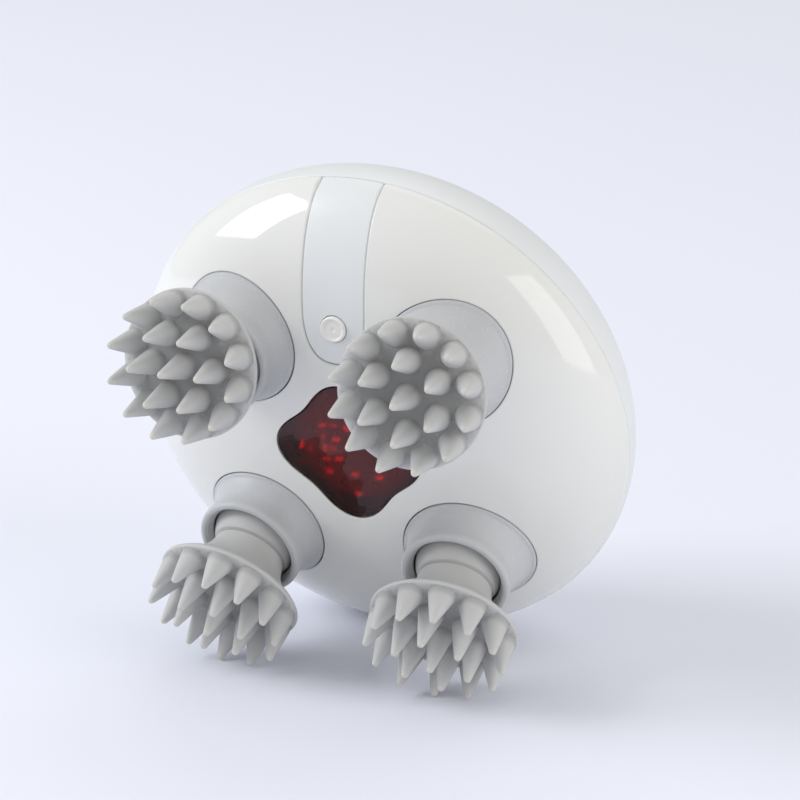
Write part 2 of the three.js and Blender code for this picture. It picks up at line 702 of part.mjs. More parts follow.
// The crank axes and the drive gear's axis meet at one apex, so all five gears are equal cones about it.
const APEX_Z = PIVOT_Z - PIVOT_XY / AXIS_SLOPE;
const PIVOT_TO_APEX = Math.hypot(Math.SQRT2 * PIVOT_XY, PIVOT_XY / AXIS_SLOPE);
const CONE_DISTANCE = PIVOT_TO_APEX + GEAR_MID;
const PITCH_R = CONE_DISTANCE * Math.tan(Math.atan(Math.SQRT2 * AXIS_SLOPE) / 2);
const DRIVE_GEAR_MID_Z = APEX_Z + CONE_DISTANCE;

// Tapered gear about Z, centred on height 0, with a tooth or a gap towards +X.
function gearSolid(boreR, flatR, phase) {
  const module = (2 * PITCH_R) / GEAR_TEETH;
  const tip = PITCH_R + ADDENDUM * module;
  const rootR = PITCH_R - DEDENDUM * module;
  const points = [];
  for (let tooth = 0; tooth < GEAR_TEETH; tooth += 1) {
    const middle = ((tooth + phase) * 360) / GEAR_TEETH;
    points.push(polar(rootR, middle - ROOT_HALF_ANGLE));
    points.push(polar(tip, middle - TIP_HALF_ANGLE));
    points.push(polar(tip, middle + TIP_HALF_ANGLE));
    points.push(polar(rootR, middle + ROOT_HALF_ANGLE));
  }
  const options = { depth: GEAR_T, bevelEnabled: false };
  const geometry = new THREE.ExtrudeGeometry(shapeFrom(points), options).translate(0, 0, -GEAR_T / 2);
  const position = geometry.getAttribute("position");
  for (let i = 0; i < position.count; i += 1) {
    const scale = 1 + position.getZ(i) / CONE_DISTANCE;
    position.setXY(i, position.getX(i) * scale, position.getY(i) * scale);
  }
  const stock = cylinder(boreR, -GEAR_T, GEAR_T, SMALL_SIDES);
  const flat = box(2 * boreR, 2 * boreR, 2 * GEAR_T, flatR + boreR, 0, 0);
  return solidOf(geometry).subtract(stock.subtract(flat));
}

function makeCrankGear(layout) {
  const { crank } = headFrames(layout);
  const gear = gearSolid(SHAFT_R + GAP, SHAFT_R - KEY_FLAT + GAP, 0.5).translate([0, 0, GEAR_MID]);
  addPiece("crank_gear_" + layout.name, placed(gear, crank), "gearPlastic");
}

function makeDrive() {
  const gear = gearSolid(DRIVE_SHAFT_R + GAP, DRIVE_SHAFT_R - KEY_FLAT + GAP, 0);
  addPiece("drive_gear", moved(gear, 0, 0, DRIVE_GEAR_MID_Z), "gearPlastic");
  const bottom = BASE_BOTTOM_Z;
  const top = DRIVE_GEAR_MID_Z + GEAR_T / 2;
  const flatL = GEAR_T + 1;
  const flat = box(
    2 * DRIVE_SHAFT_R,
    2 * DRIVE_SHAFT_R,
    flatL,
    2 * DRIVE_SHAFT_R - KEY_FLAT,
    0,
    top - flatL / 2 + 0.5,
  );
  addPiece("drive_shaft", cylinder(DRIVE_SHAFT_R, bottom, top, SMALL_SIDES).subtract(flat), "steel");
}

// Upper gearbox plate: four leaning bosses hold the bushes, and short posts carry the boards.
function makeGearboxCover(switchSeat) {
  let plate = cylinder(COVER_R, COVER_BOTTOM_Z, COVER_TOP_Z, PLATE_SIDES);
  const bushR = SHAFT_R + RUNNING_GAP + BUSH_T;
  const bossTop = BUSH_TOP - 0.4;
  for (const layout of HEADS) {
    const { crank } = headFrames(layout);
    const length = (PIVOT_Z - COVER_BOTTOM_Z) / crank.elements[10];
    const boss = cylinder(bushR + GAP + BOSS_T, -length + 1.2, bossTop, SMALL_SIDES);
    plate = plate.add(placed(boss, crank));
    plate = plate.subtract(placed(cylinder(bushR + GAP, -2 * length, 0, SMALL_SIDES), crank));
  }
  for (const angle of [0, 120, 240]) {
    const [x, y] = polar(LED_BOARD_R - 3, angle);
    const top = LED_BOARD_TOP_Z - LED_BOARD_T - GAP;
    plate = plate.add(moved(cylinder(1.8, COVER_TOP_Z - 0.5, top, SMALL_SIDES), x, y));
  }
  for (const angle of STANDOFF_ANGLES) {
    const [x, y] = polar(STANDOFF_POLAR_R, angle);
    plate = plate.subtract(moved(cylinder(SCREW_R + GAP, 0, FACE_H, SMALL_SIDES), x, y));
  }
  const place = buttonMatrix();
  const seatTop = switchSeat - GAP;
  const seat = box(SWITCH_W, SWITCH_W, FACE_H, 0, 0, seatTop - FACE_H / 2);
  const space = cylinder(BODY_R, COVER_TOP_Z - 0.5, 2 * FACE_H, PLATE_SIDES);
  plate = plate.add(placed(seat, place).intersect(space));
  addPiece("gearbox_cover", plate, "naturalPlastic");
}

// Lower gearbox plate: standoffs up to the cover, bores for the crank shafts and posts for the main board.
function makeGearboxBase() {
  let plate = cylinder(BASE_R, BASE_BOTTOM_Z, BASE_TOP_Z, PLATE_SIDES);
  for (const angle of STANDOFF_ANGLES) {
    const [x, y] = polar(STANDOFF_POLAR_R, angle);
    plate = plate.add(moved(cylinder(STANDOFF_R, BASE_BOTTOM_Z, COVER_BOTTOM_Z - GAP, SMALL_SIDES), x, y));
    plate = plate.subtract(moved(cylinder(SCREW_R + GAP, -FACE_H, FACE_H, SMALL_SIDES), x, y));
  }
  for (const layout of HEADS) {
    const { crank } = headFrames(layout);
    const bore = cylinder(SHAFT_R + RUNNING_GAP, 2 * SHAFT_BOTTOM, GEAR_MID, SMALL_SIDES);
    plate = plate.subtract(placed(bore, crank));
  }
  plate = plate.subtract(cylinder(DRIVE_SHAFT_R + GAP, -FACE_H, FACE_H, SMALL_SIDES));
  for (const side of [-1, 1]) {
    const x = side * (BOARD.w / 2 - 4);
    const post = cylinder(2, BOARD.topZ + GAP, BASE_BOTTOM_Z + 0.5, SMALL_SIDES);
    plate = plate.add(moved(post, x, BOARD.y));
  }
  addPiece("gearbox_base", plate, "naturalPlastic");
}

function makeMotor() {
  const top = BASE_BOTTOM_Z - GAP;
  const bottom = top - GEARHEAD_H;
  const head = cylinder(GEARHEAD_R, bottom, top, PLATE_SIDES);
  addPiece("motor_gearhead", head, "naturalPlastic");
  const canTop = bottom - GAP;
  const canBottom = canTop - MOTOR_L;
  const profile = [
    [0, canBottom - 1],
    [MOTOR_BOSS_R, canBottom - 1],
    [MOTOR_BOSS_R, canBottom],
    [MOTOR_R - 1, canBottom],
    [MOTOR_R, canBottom + 1],
    [MOTOR_R, canTop],
    [0, canTop],
  ];
  addPiece("motor", revolve(profile, PLATE_SIDES), "steel");
}

function makeElectronics() {
  const half = BATTERY.w / 2 - BATTERY.corner;
  const halfL = BATTERY.l / 2 - BATTERY.corner;
  const shape = new THREE.Shape();
  shape.absarc(half, halfL, BATTERY.corner, 0, Math.PI / 2);
  shape.absarc(-half, halfL, BATTERY.corner, Math.PI / 2, Math.PI);
  shape.absarc(-half, -halfL, BATTERY.corner, Math.PI, 1.5 * Math.PI);
  shape.absarc(half, -halfL, BATTERY.corner, 1.5 * Math.PI, 2 * Math.PI);
  const options = { depth: BATTERY.h, bevelEnabled: false, curveSegments: 3 };
  const cell = new THREE.ExtrudeGeometry(shape, options);
  cell.translate(0, BATTERY.y, BATTERY.topZ - BATTERY.h);
  addPiece("battery", solidOf(cell), "batteryWrap");
  const middle = BOARD.topZ - BOARD.t / 2;
  const under = BOARD.topZ - BOARD.t + 0.1;
  let board = box(BOARD.w, BOARD.l, BOARD.t, 0, BOARD.y, middle);
  board = board.add(box(7, 7, 1.3, -8, BOARD.y + 2, under - 0.65));
  board = board.add(box(5, 4, 2.2, 5, BOARD.y - 4, under - 1.1));
  board = board.add(moved(cylinder(2.2, under - 3.5, under, SMALL_SIDES), 11, BOARD.y + 3));
  addPiece("main_board", board, "circuitBoard");
  const coilBottom = -REAR_DEPTH + WALL + GAP;
  const coil = [
    [COIL_HOLE_R, coilBottom],
    [COIL_R, coilBottom],
    [COIL_R, coilBottom + COIL_T],
    [COIL_HOLE_R, coilBottom + COIL_T],
  ];
  addPiece("charge_coil", revolveRing(coil, PLATE_SIDES), "copper");
}

function makeScrews() {
  STANDOFF_ANGLES.forEach((angle, i) => {
    const [x, y] = polar(STANDOFF_POLAR_R, angle);
    const seat = BASE_BOTTOM_Z - GAP;
    const profile = [
      [0, seat - SCREW_HEAD_H + 0.8],
      [0.8, seat - SCREW_HEAD_H],
      [SCREW_HEAD_R, seat - SCREW_HEAD_H],
      [SCREW_HEAD_R, seat],
      [SCREW_R, seat],
      [SCREW_R, SCREW_TOP_Z - 1],
      [0, SCREW_TOP_Z],
    ];
    addPiece("case_screw_" + (i + 1), moved(revolve(profile, SMALL_SIDES), x, y), "steel");
  });
}

const shell = domeShell();
makeRearCover();
makeFaceShell(shell);
makeTonguePanel(shell);
const switchSeat = makeButton();
makeWindow(shell);
makeGearboxCover(switchSeat);
makeGearboxBase();
makeDrive();
makeMotor();
makeElectronics();
makeScrews();
for (const layout of HEADS) {
  makeCollar(layout);
  makeBush(layout);
  makeCrank(layout);
  makeCrankGear(layout);
  makeClip(layout);
  makeCore(layout);
  makePad(layout);
}

// Lowest height of some meshes once the body is turned about X by an angle.
function lowest(meshes, angle) {
  const point = new THREE.Vector3();
  let low = Infinity;
  for (const mesh of meshes) {
    const position = mesh.geometry.getAttribute("position");
    for (let i = 0; i < position.count; i += 1) {
      point.fromBufferAttribute(position, i);
      low = Math.min(low, point.y * Math.sin(angle) + point.z * Math.cos(angle));
    }
  }
  return low;
}

// The body stands on its rim and on its lower heads: the angle at which both touch the floor.
function standingAngle() {
  const pads = root.children.filter((mesh) => mesh.name.startsWith("head_pad_bottom"));
  const shells = root.children.filter((mesh) => ["rear_cover", "face_shell"].includes(mesh.name));
  let upright = Math.PI / 2;
  let tipped = Math.PI * 0.75;
  for (let i = 0; i < 40; i += 1) {
    const angle = (upright + tipped) / 2;
    if (lowest(pads, angle) > lowest(shells, angle)) upright = angle;
    else tipped = angle;
  }
  return (upright + tipped) / 2;
}

root.rotation.x = standingAngle();
const bounds = new THREE.Box3().setFromObject(root, true);
root.position.x = -(bounds.min.x + bounds.max.x) / 2;
root.position.y = -(bounds.min.y + bounds.max.y) / 2;
root.position.z = -bounds.min.z;
const massager = new THREE.Group();
massager.add(root);

export default massager;
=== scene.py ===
import json
import math

import bmesh
import bpy
import numpy as np
from bpy.props import FloatProperty, FloatVectorProperty, IntProperty, PointerProperty
from mathutils import Matrix, Vector
from mathutils.geometry import delaunay_2d_cdt


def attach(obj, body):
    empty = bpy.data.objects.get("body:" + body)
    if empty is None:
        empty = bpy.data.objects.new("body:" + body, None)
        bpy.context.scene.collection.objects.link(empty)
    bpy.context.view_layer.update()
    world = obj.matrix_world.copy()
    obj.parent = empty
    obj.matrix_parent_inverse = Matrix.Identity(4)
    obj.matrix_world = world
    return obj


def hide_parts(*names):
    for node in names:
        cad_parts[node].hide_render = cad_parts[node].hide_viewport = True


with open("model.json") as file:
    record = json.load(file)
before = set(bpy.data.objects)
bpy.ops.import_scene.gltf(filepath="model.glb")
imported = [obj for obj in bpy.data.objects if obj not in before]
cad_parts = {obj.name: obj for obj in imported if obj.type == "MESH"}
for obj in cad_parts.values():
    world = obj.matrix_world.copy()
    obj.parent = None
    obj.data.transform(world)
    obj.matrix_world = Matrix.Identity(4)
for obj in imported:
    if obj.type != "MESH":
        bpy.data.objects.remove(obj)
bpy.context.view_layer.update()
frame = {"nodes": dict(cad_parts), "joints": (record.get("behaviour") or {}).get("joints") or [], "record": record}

bl_info = {
    "name": "Scalp Massager",
    "version": (1, 0, 0),
    "blender": (4, 5, 0),
    "location": "View3D > Sidebar > Massager",
    "description": "Dresses the massager's solids with smooth shells, collars, pads and their finishes",
    "category": "Add Mesh",
}

MM = 0.001
# A radius below this lies on the axis
ON_AXIS = 1e-9
JOINTS = {joint["name"]: joint for joint in frame["joints"]}
# Each head's side and height on the face, then the turns of its inner cones and of its pad, in degrees
HEADS = {
    "top_left": (-1, 1, 0, 0.5),
    "top_right": (1, 1, 30, 0.3),
    "bottom_left": (-1, -1, 0, 4.5),
    "bottom_right": (1, -1, 30, 1.4),
}


def tint(red, green, blue):
    """Linear colour of an 8-bit display colour."""
    shares = [value / 255 for value in (red, green, blue)]
    return tuple(v / 12.92 if v < 0.04045 else ((v + 0.055) / 1.055) ** 2.4 for v in shares)


def joint_line(name):
    """Point and unit direction of a joint's axis, in the row frame."""
    joint = JOINTS[name]
    return Vector(joint["pos_m"]), Vector(joint["axis"]).normalized()


def basis(x_axis, y_axis, z_axis, origin):
    """Matrix of a frame with these axes and origin."""
    matrix = Matrix((x_axis, y_axis, z_axis)).transposed().to_4x4()
    matrix.translation = origin
    return matrix


def body_frame():
    """The body's own frame: Z out of the face, Y towards the tongue panel, origin on the seam's plane."""
    origin, z_axis = joint_line("drive_spin")
    x_axis = Vector((1, 0, 0))
    return basis(x_axis, z_axis.cross(x_axis), z_axis, origin)


BODY = body_frame()
TO_BODY = BODY.inverted()


def crank_frame(name):
    """Frame of a head's crank axis in the row, with X towards the body's own axis."""
    side, up = HEADS[name][:2]
    pivot, axis = joint_line("crank_spin_" + name)
    inward = BODY.to_3x3() @ Vector((-side, -up, 0)).normalized()
    across = axis.cross(inward).normalized()
    return basis(across.cross(axis), across, axis, pivot)


def head_frame(name):
    """Frame of a head's inclined pin in the row."""
    pivot, pin = joint_line("head_rock_" + name)
    x_axis = Vector((1, 0, 0))
    x_axis = (x_axis - pin * pin.dot(x_axis)).normalized()
    return basis(x_axis, pin.cross(x_axis), pin, pivot)


# Settings


def length(name, millimetres, description):
    return FloatProperty(
        name=name, default=millimetres * MM, description=description, unit="LENGTH", precision=5
    )


def ratio(name, default, description):
    return FloatProperty(name=name, default=default, description=description)


def rotation(name, degrees, description):
    return FloatProperty(
        name=name, default=math.radians(degrees), description=description, subtype="ANGLE", precision=5
    )


def colour(name, default, description):
    return FloatVectorProperty(
        name=name, default=default, description=description, subtype="COLOR", size=3, min=0, max=1
    )


class MASSAGER_PG_shell(bpy.types.PropertyGroup):
    """Sizes of the two shells and of what is let into them."""

    body_radius: length("Body radius", 56, "Radius of the seam between the two shells")
    face_height: length("Face height", 20.15, "Height of the face dome above the seam")
    face_flatness: ratio("Face flatness", 3.113, "Power across the face dome")
    face_shoulder: ratio("Face shoulder", 1.813, "Power along the face dome's height")
    rear_depth: length("Rear depth", 33.2, "Half axis of the rear cover's ellipsoid")
    rest_radius: length("Rest flat radius", 13.6, "Radius of the flat at the middle of the back")
    wall: length("Wall", 2.2, "Wall of both shells")
    seam_gap: length("Seam gap", 0.09, "Open width of the seam")
    edge_radius: length("Edge radius", 0.32, "Rounding of the panels' edges")
    panel_gap: length("Panel gap", 0.3, "Gap between the shell and the tongue or the window")
    collar_gap: length("Collar gap", 0.2, "Gap between the shell and a collar")
    button_gap: length("Button gap", 0.17, "Gap between the tongue and the button")
    groove_depth: length("Groove depth", 0.26, "Depth of the ledges that close the grooves")
    groove_ledge: length("Groove ledge", 0.14, "How far a ledge reaches into its groove")
    tongue_half_width: length("Tongue half width", 7, "Half of the tongue panel's width")
    tongue_end: length("Tongue end", 22, "Distance of the tongue's end from the body's axis")
    tongue_round: length("Tongue round length", 13, "Length of the tongue's rounded end")
    tongue_power: ratio("Tongue round power", 2.6, "Power of the tongue's rounded end")
    tongue_sink: length("Tongue sink", 0.12, "How far the tongue lies below the shell")
    tongue_end_gap: length("Tongue end gap", 0.22, "How much wider the gap is at the tongue's end")
    window_radius: length("Window radius", 14.75, "Mean radius of the four-lobed window")
    window_lobe: length("Window lobe", 1.7, "How far its lobes go past the mean")
    lens_thickness: length("Lens thickness", 1.2, "Thickness of the red lens")
    button_place: length("Button place", 30.1, "Distance of the button from the body's axis")
    button_radius: length("Button radius", 2.85, "Radius of the push button")
    button_proud: length("Button height", 0.45, "How far the button stands above the tongue")


class MASSAGER_PG_head(bpy.types.PropertyGroup):
    """Sizes of the collars and of the soft pads."""

    collar_place: length("Collar place", 23.688, "Distance of a collar from both middle lines")
    collar_radius: length("Collar radius", 13.95, "Radius of a collar's foot")
    lip_radius: length("Lip radius", 11.95, "Outer radius of a collar's lip")
    waist_radius: length("Waist radius", 11.6, "Radius of a collar's cove")
    mouth_radius: length("Mouth radius", 10.2, "Inner radius of a collar's lip")
    collar_top: length("Collar top", 5.75, "Height of a collar's lip above the pivot")
    neck_radius: length("Neck radius", 8, "Radius at the start of a pad's flare")
    skirt_radius: length("Skirt radius", 9.85, "Radius of the ball-shaped skirt in the collar")
    bead_radius: length("Bead radius", 8.62, "Radius of the bead around the neck")
    flare_reach: length("Flare reach", 5.9, "How far the flare goes out over its main height")
    flare_height: length("Flare height", 8.9, "Main height of the flare")
    flare_power: ratio("Flare power", 2.3, "How late the flare opens")
    pad_radius: length("Pad radius", 16, "Radius of a pad's rim")
    pad_edge: length("Rim height", 15.4, "Height of the rim above the pivot")
    pad_crown: length("Crown height", 18, "Height of the pad's front at its middle")
    cone_radius: length("Cone radius", 2.86, "Radius of a massage cone at its foot")
    cone_tip: length("Cone tip radius", 0.8, "Radius of a massage cone's rounded tip")
    cone_bulge: length("Cone bulge", 0.03, "How far a cone's side swells at its middle")
    cone_fillet: length("Cone fillet", 0.26, "Fillet between a cone and the pad")
    outer_place: length("Outer cones", 12.9, "Radius of the outer round of cones at their feet")
    outer_tip_place: length("Outer tips", 14.72, "Radius of the outer round of cones at their tips")
    outer_tip: length("Outer tip height", 24.9, "Height of the outer tips above the pivot")
    inner_place: length("Inner cones", 7.4, "Radius of the inner round of cones at their feet")
    inner_tip_place: length("Inner tips", 8.15, "Radius of the inner round of cones at their tips")
    inner_tip: length("Inner tip height", 27.14, "Height of the inner tips above the pivot")
    middle_tip: length("Middle tip height", 28, "Height of the middle cone's tip above the pivot")
    steps: IntProperty(name="Steps", default=96, min=24, description="Steps around a pad")


class MASSAGER_PG_finish(bpy.types.PropertyGroup):
    """Colours of the visible finishes."""

    gloss_white: colour("Face shell", tint(229, 229, 226), "Glossy moulded white")
    satin_white: colour("Rear shell", tint(226, 228, 229), "Satin moulded white")
    button: colour("Button", tint(238, 237, 232), "Creamy white of the push button")
    collar_grey: colour("Collars", tint(190, 191, 193), "Cool grey silicone of the collars")
    pad_grey: colour("Pads", tint(196, 196, 195), "Grey silicone of the pads")
    pad_tip: colour("Cone tips", tint(208, 205, 200), "Warmer grey at the tips of the cones")
    groove: colour("Grooves", tint(212, 203, 182), "Warm grey in the narrow grooves")
    lens_red: colour("Lens", (0.42, 0.06, 0.08), "Red tint of the window's lens")
    glow_red: colour("Glow", tint(205, 24, 28), "Light of the window's lamps")


class MASSAGER_PG_stage(bpy.types.PropertyGroup):
    """Floor, lights and camera."""

    floor: colour("Floor", tint(236, 238, 249), "Colour of the floor")
    fill: ratio("Fill light", 0.57, "Strength of the even light from all sides")
    left_light: ratio("Left light", 8.9, "Power of the softbox on the left")
    right_light: ratio("Right light", 6.8, "Power of the softbox on the right")
    back_light: ratio("Back light", 2.8, "Power of the softbox behind the object")
    focal_length: ratio("Focal length", 177.07, "Camera's focal length in millimetres")
    camera_azimuth: rotation("Camera azimuth", 24.3685, "Turn of the camera from the object's front")
    camera_elevation: rotation("Camera elevation", 19.4707, "Angle of the camera above the floor")
    camera_roll: rotation("Camera roll", -0.8573, "Turn of the camera about its view")
    camera_distance: length("Camera distance", 836.37, "Distance of the camera from its aim")
    camera_aim: FloatVectorProperty(
        name="Camera aim",
        default=(6.43 * MM, 2.91 * MM, 58.02 * MM),
        description="Point that the camera turns about",
        subtype="TRANSLATION",
        size=3,
        unit="LENGTH",
    )


# Mesh helpers


def add_mesh(name, vertices, faces, matrix, smooth=True, slots=None):
    """A mesh object in the row frame, through a matrix. Slots give each face a material."""
    mesh = bpy.data.meshes.new(name)
    mesh.from_pydata([matrix @ Vector(v) for v in vertices], [], faces)
    if slots:
        mesh.polygons.foreach_set("material_index", slots)
    mesh.validate()
    mesh.update()
    if smooth:
        mesh.shade_smooth()
    piece = bpy.data.objects.new(name, mesh)
    bpy.context.scene.collection.objects.link(piece)
    return piece


def set_normals(piece, normals, matrix):
    """Exact normals for a smooth piece, one for each vertex."""
    turn = matrix.to_3x3().normalized()
    piece.data.normals_split_custom_set_from_vertices([(turn @ n).normalized() for n in normals])


def tidy(piece, distance=1e-6):
    """Joins vertices that meet, and turns all faces outward."""
    work = bmesh.new()
    work.from_mesh(piece.data)
    bmesh.ops.remove_doubles(work, verts=work.verts, dist=distance)
    bmesh.ops.recalc_face_normals(work, faces=work.faces)
    work.to_mesh(piece.data)
    work.free()


def spline(points, parts):
    """Points on a smooth curve through some points, with a number of parts between each two."""
    stretched = [2 * points[0] - points[1], *points, 2 * points[-1] - points[-2]]
    out = []
    for i in range(1, len(stretched) - 2):
        a, b, c, d = stretched[i - 1 : i + 3]
        for k in range(parts):
            t = k / parts
            out.append(
                0.5
                * (
                    2 * b
                    + (c - a) * t
                    + (2 * a - 5 * b + 4 * c - d) * t * t
                    + (3 * b - a - 3 * c + d) * t ** 3
                )
            )
    out.append(stretched[-2])
    return out


def smooth_profile(points, parts=4):
    """A lathe profile of (radius, height) pairs, smoothed."""
    curve = spline([Vector(p) for p in points], parts)
    return [(max(0.0, p.x), p.y) for p in curve]


def lathe(profile, steps, matrix, name):
    """A surface of revolution about Z. Its profile's ends lie on the axis or stay open."""
    vertices = []
    faces = []
    rings = []
    for radius, height in profile:
        if radius < ON_AXIS:
            rings.append([len(vertices)])
            vertices.append((0, 0, height))
            continue
        rings.append(list(range(len(vertices), len(vertices) + steps)))
        for i in range(steps):
            angle = 2 * math.pi * i / steps
            vertices.append((radius * math.cos(angle), radius * math.sin(angle), height))
    for low, high in zip(rings, rings[1:]):
        for i in range(steps):
            k = (i + 1) % steps
            corners = [low[i % len(low)], low[k % len(low)], high[k % len(high)], high[i % len(high)]]
            # A ring that is one point on the axis gives the same corner twice
            face = list(dict.fromkeys(corners))
            if len(face) > 2:
                faces.append(face)
    piece = add_mesh(name, vertices, faces, matrix)
    tidy(piece)
    return piece


def ring_loft(rings, matrix, name):
    """A skin through rings of points, of which the last is joined to the first."""
    steps = len(rings[0])
    vertices = [point for ring in rings for point in ring]
    faces = []
    for i in range(len(rings)):
        low = i * steps
        high = ((i + 1) % len(rings)) * steps
        for j in range(steps):
            k = (j + 1) % steps
            faces.append((low + j, low + k, high + k, high + j))
    piece = add_mesh(name, vertices, faces, matrix)
    tidy(piece)
    return piece


def carry(piece, body, slot, *nodes):
    """Puts a piece on its body, in place of CAD nodes. The slot is not used."""
    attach(piece, body)
    if nodes:
        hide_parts(*nodes)


# Face dome


class Dome:
    """The face dome: its height and normal over the plane of the seam, and its profile by length."""

    def __init__(self, shell):
        self.radius = shell.body_radius
        self.height = shell.face_height
        self.flatness = shell.face_flatness
        self.shoulder = shell.face_shoulder
        self.profile = []
        reach = 0.0
        previous = Vector((0, self.height))
        steps = 2000
        for i in range(steps + 1):
            angle = i / steps * math.pi / 2
            r = self.radius * math.sin(angle) ** (2 / self.flatness)
            z = self.height * max(0.0, math.cos(angle)) ** (2 / self.shoulder)
            point = Vector((r, z))
            reach += (point - previous).length
            previous = point
            self.profile.append((reach, r, z))
        self.reaches = [p[0] for p in self.profile]
        self.radii = [p[1] for p in self.profile]
        self.heights = [p[2] for p in self.profile]

    def z(self, r):
        share = min(1.0, r / self.radius)
        return self.height * (1 - share ** self.flatness) ** (1 / self.shoulder)

    def normal_at(self, r, z):
        """Outward normal in the profile's plane, as (radial, height) parts."""
        across = self.flatness / self.radius * (max(r, 0) / self.radius) ** (self.flatness - 1)
        along = self.shoulder / self.height * (max(z, 0) / self.height) ** (self.shoulder - 1)
        return Vector((across, along)).normalized()

    def unrolled(self, x, y):
        """A point over the seam's plane, moved outwards so that its distance is the dome's arc length."""
        r = math.hypot(x, y)
        if r < ON_AXIS:
            return (0.0, 0.0)
        reach = float(np.interp(r, self.radii, self.reaches))
        return (x / r * reach, y / r * reach)

    def point(self, u, v):
        """The dome's point and normal for an unrolled place."""
        reach = math.hypot(u, v)
        r = float(np.interp(reach, self.reaches, self.radii))
        z = float(np.interp(reach, self.reaches, self.heights))
        if reach < ON_AXIS:
            return Vector((0, 0, z)), Vector((0, 0, 1))
        direction = Vector((u / reach, v / reach, 0))
        side = self.normal_at(r, z)
        return direction * r + Vector((0, 0, z)), direction * side.x + Vector((0, 0, side.y))


def inside(loop, points):
    """Which points lie inside a closed loop, as a mask."""
    x, y = points[:, 0], points[:, 1]
    odd = np.zeros(len(points), bool)
    for (ax, ay), (bx, by) in zip(loop, np.roll(loop, -1, axis=0)):
        crosses = (ay > y) != (by > y)
        if ay == by:
            continue
        odd ^= crosses & (x < (bx - ax) * (y - ay) / (by - ay) + ax)
    return odd


def near(loop, points, distance):
    """Which points lie closer than a distance to the points of a loop."""
    gaps = ((points[:, None, :] - loop[None, :, :]) ** 2).sum(axis=2)
    return gaps.min(axis=1) < distance * distance


def filled_region(outer, holes, spacing):
    """Triangles of a flat region with holes, as points, faces and the places of the loops' points."""
    row_share = 0.866
    clearance = 0.6 * spacing
    convex_hull = 0
    merge = 1e-9
    loops = [np.array(outer)] + [np.array(h) for h in holes]
    low = loops[0].min(axis=0)
    high = loops[0].max(axis=0)
    rows = int((high[1] - low[1]) / (spacing * row_share)) + 1
    columns = int((high[0] - low[0]) / spacing) + 2
    grid = np.array([
        (low[0] + (i + 0.5 * (j % 2)) * spacing, low[1] + j * spacing * row_share)
        for j in range(rows)
        for i in range(columns)
    ])
    keep = inside(loops[0], grid)
    for hole in loops[1:]:
        keep &= ~inside(hole, grid)
    grid = grid[keep]
    for loop in loops:
        grid = grid[~near(loop, grid, clearance)]
    points = [tuple(p) for loop in loops for p in loop] + [tuple(p) for p in grid]
    edges = []
    start = 0
    for loop in loops:
        count = len(loop)
        edges += [(start + i, start + (i + 1) % count) for i in range(count)]
        start += count
    made = delaunay_2d_cdt([Vector(p) for p in points], edges, [], convex_hull, merge)
    flat = np.array([tuple(v) for v in made[0]])
    faces = [tuple(f) for f in made[2]]
    middles = np.array([flat[list(f)].mean(axis=0) for f in faces])
    good = inside(loops[0], middles)
    for hole in loops[1:]:
        good &= ~inside(hole, middles)
    faces = [f for f, ok in zip(faces, good) if ok]
    order = {}
    for new, olds in enumerate(made[3]):
        for old in olds:
            order[old] = new
    return flat, faces, [order[i] for i in range(start)]


def edge_runs(rounding, thickness, depth, reach):
    """Runs of (shift, depth, turn of the normal) over an edge: its rounding and wall, then its ledge."""
    steps = 4
    turns = [k / steps * math.pi / 2 for k in range(steps + 1)]
    arc = [(rounding * math.sin(a), rounding * (1 - math.cos(a)), a) for a in turns]
    side = math.pi / 2
    if not reach:
        return [arc + [(rounding, thickness, side)]]
    wide = rounding + reach
    return [
        arc + [(rounding, depth, side)],
        [(rounding, depth, 0), (wide, depth, 0)],
        [(wide, depth, side), (wide, thickness, side)],
    ]


def signed_area(loop):
    """Area of a closed loop, positive when it runs anticlockwise."""
    return sum(a[0] * b[1] - b[0] * a[1] for a, b in zip(loop, loop[1:] + loop[:1])) / 2


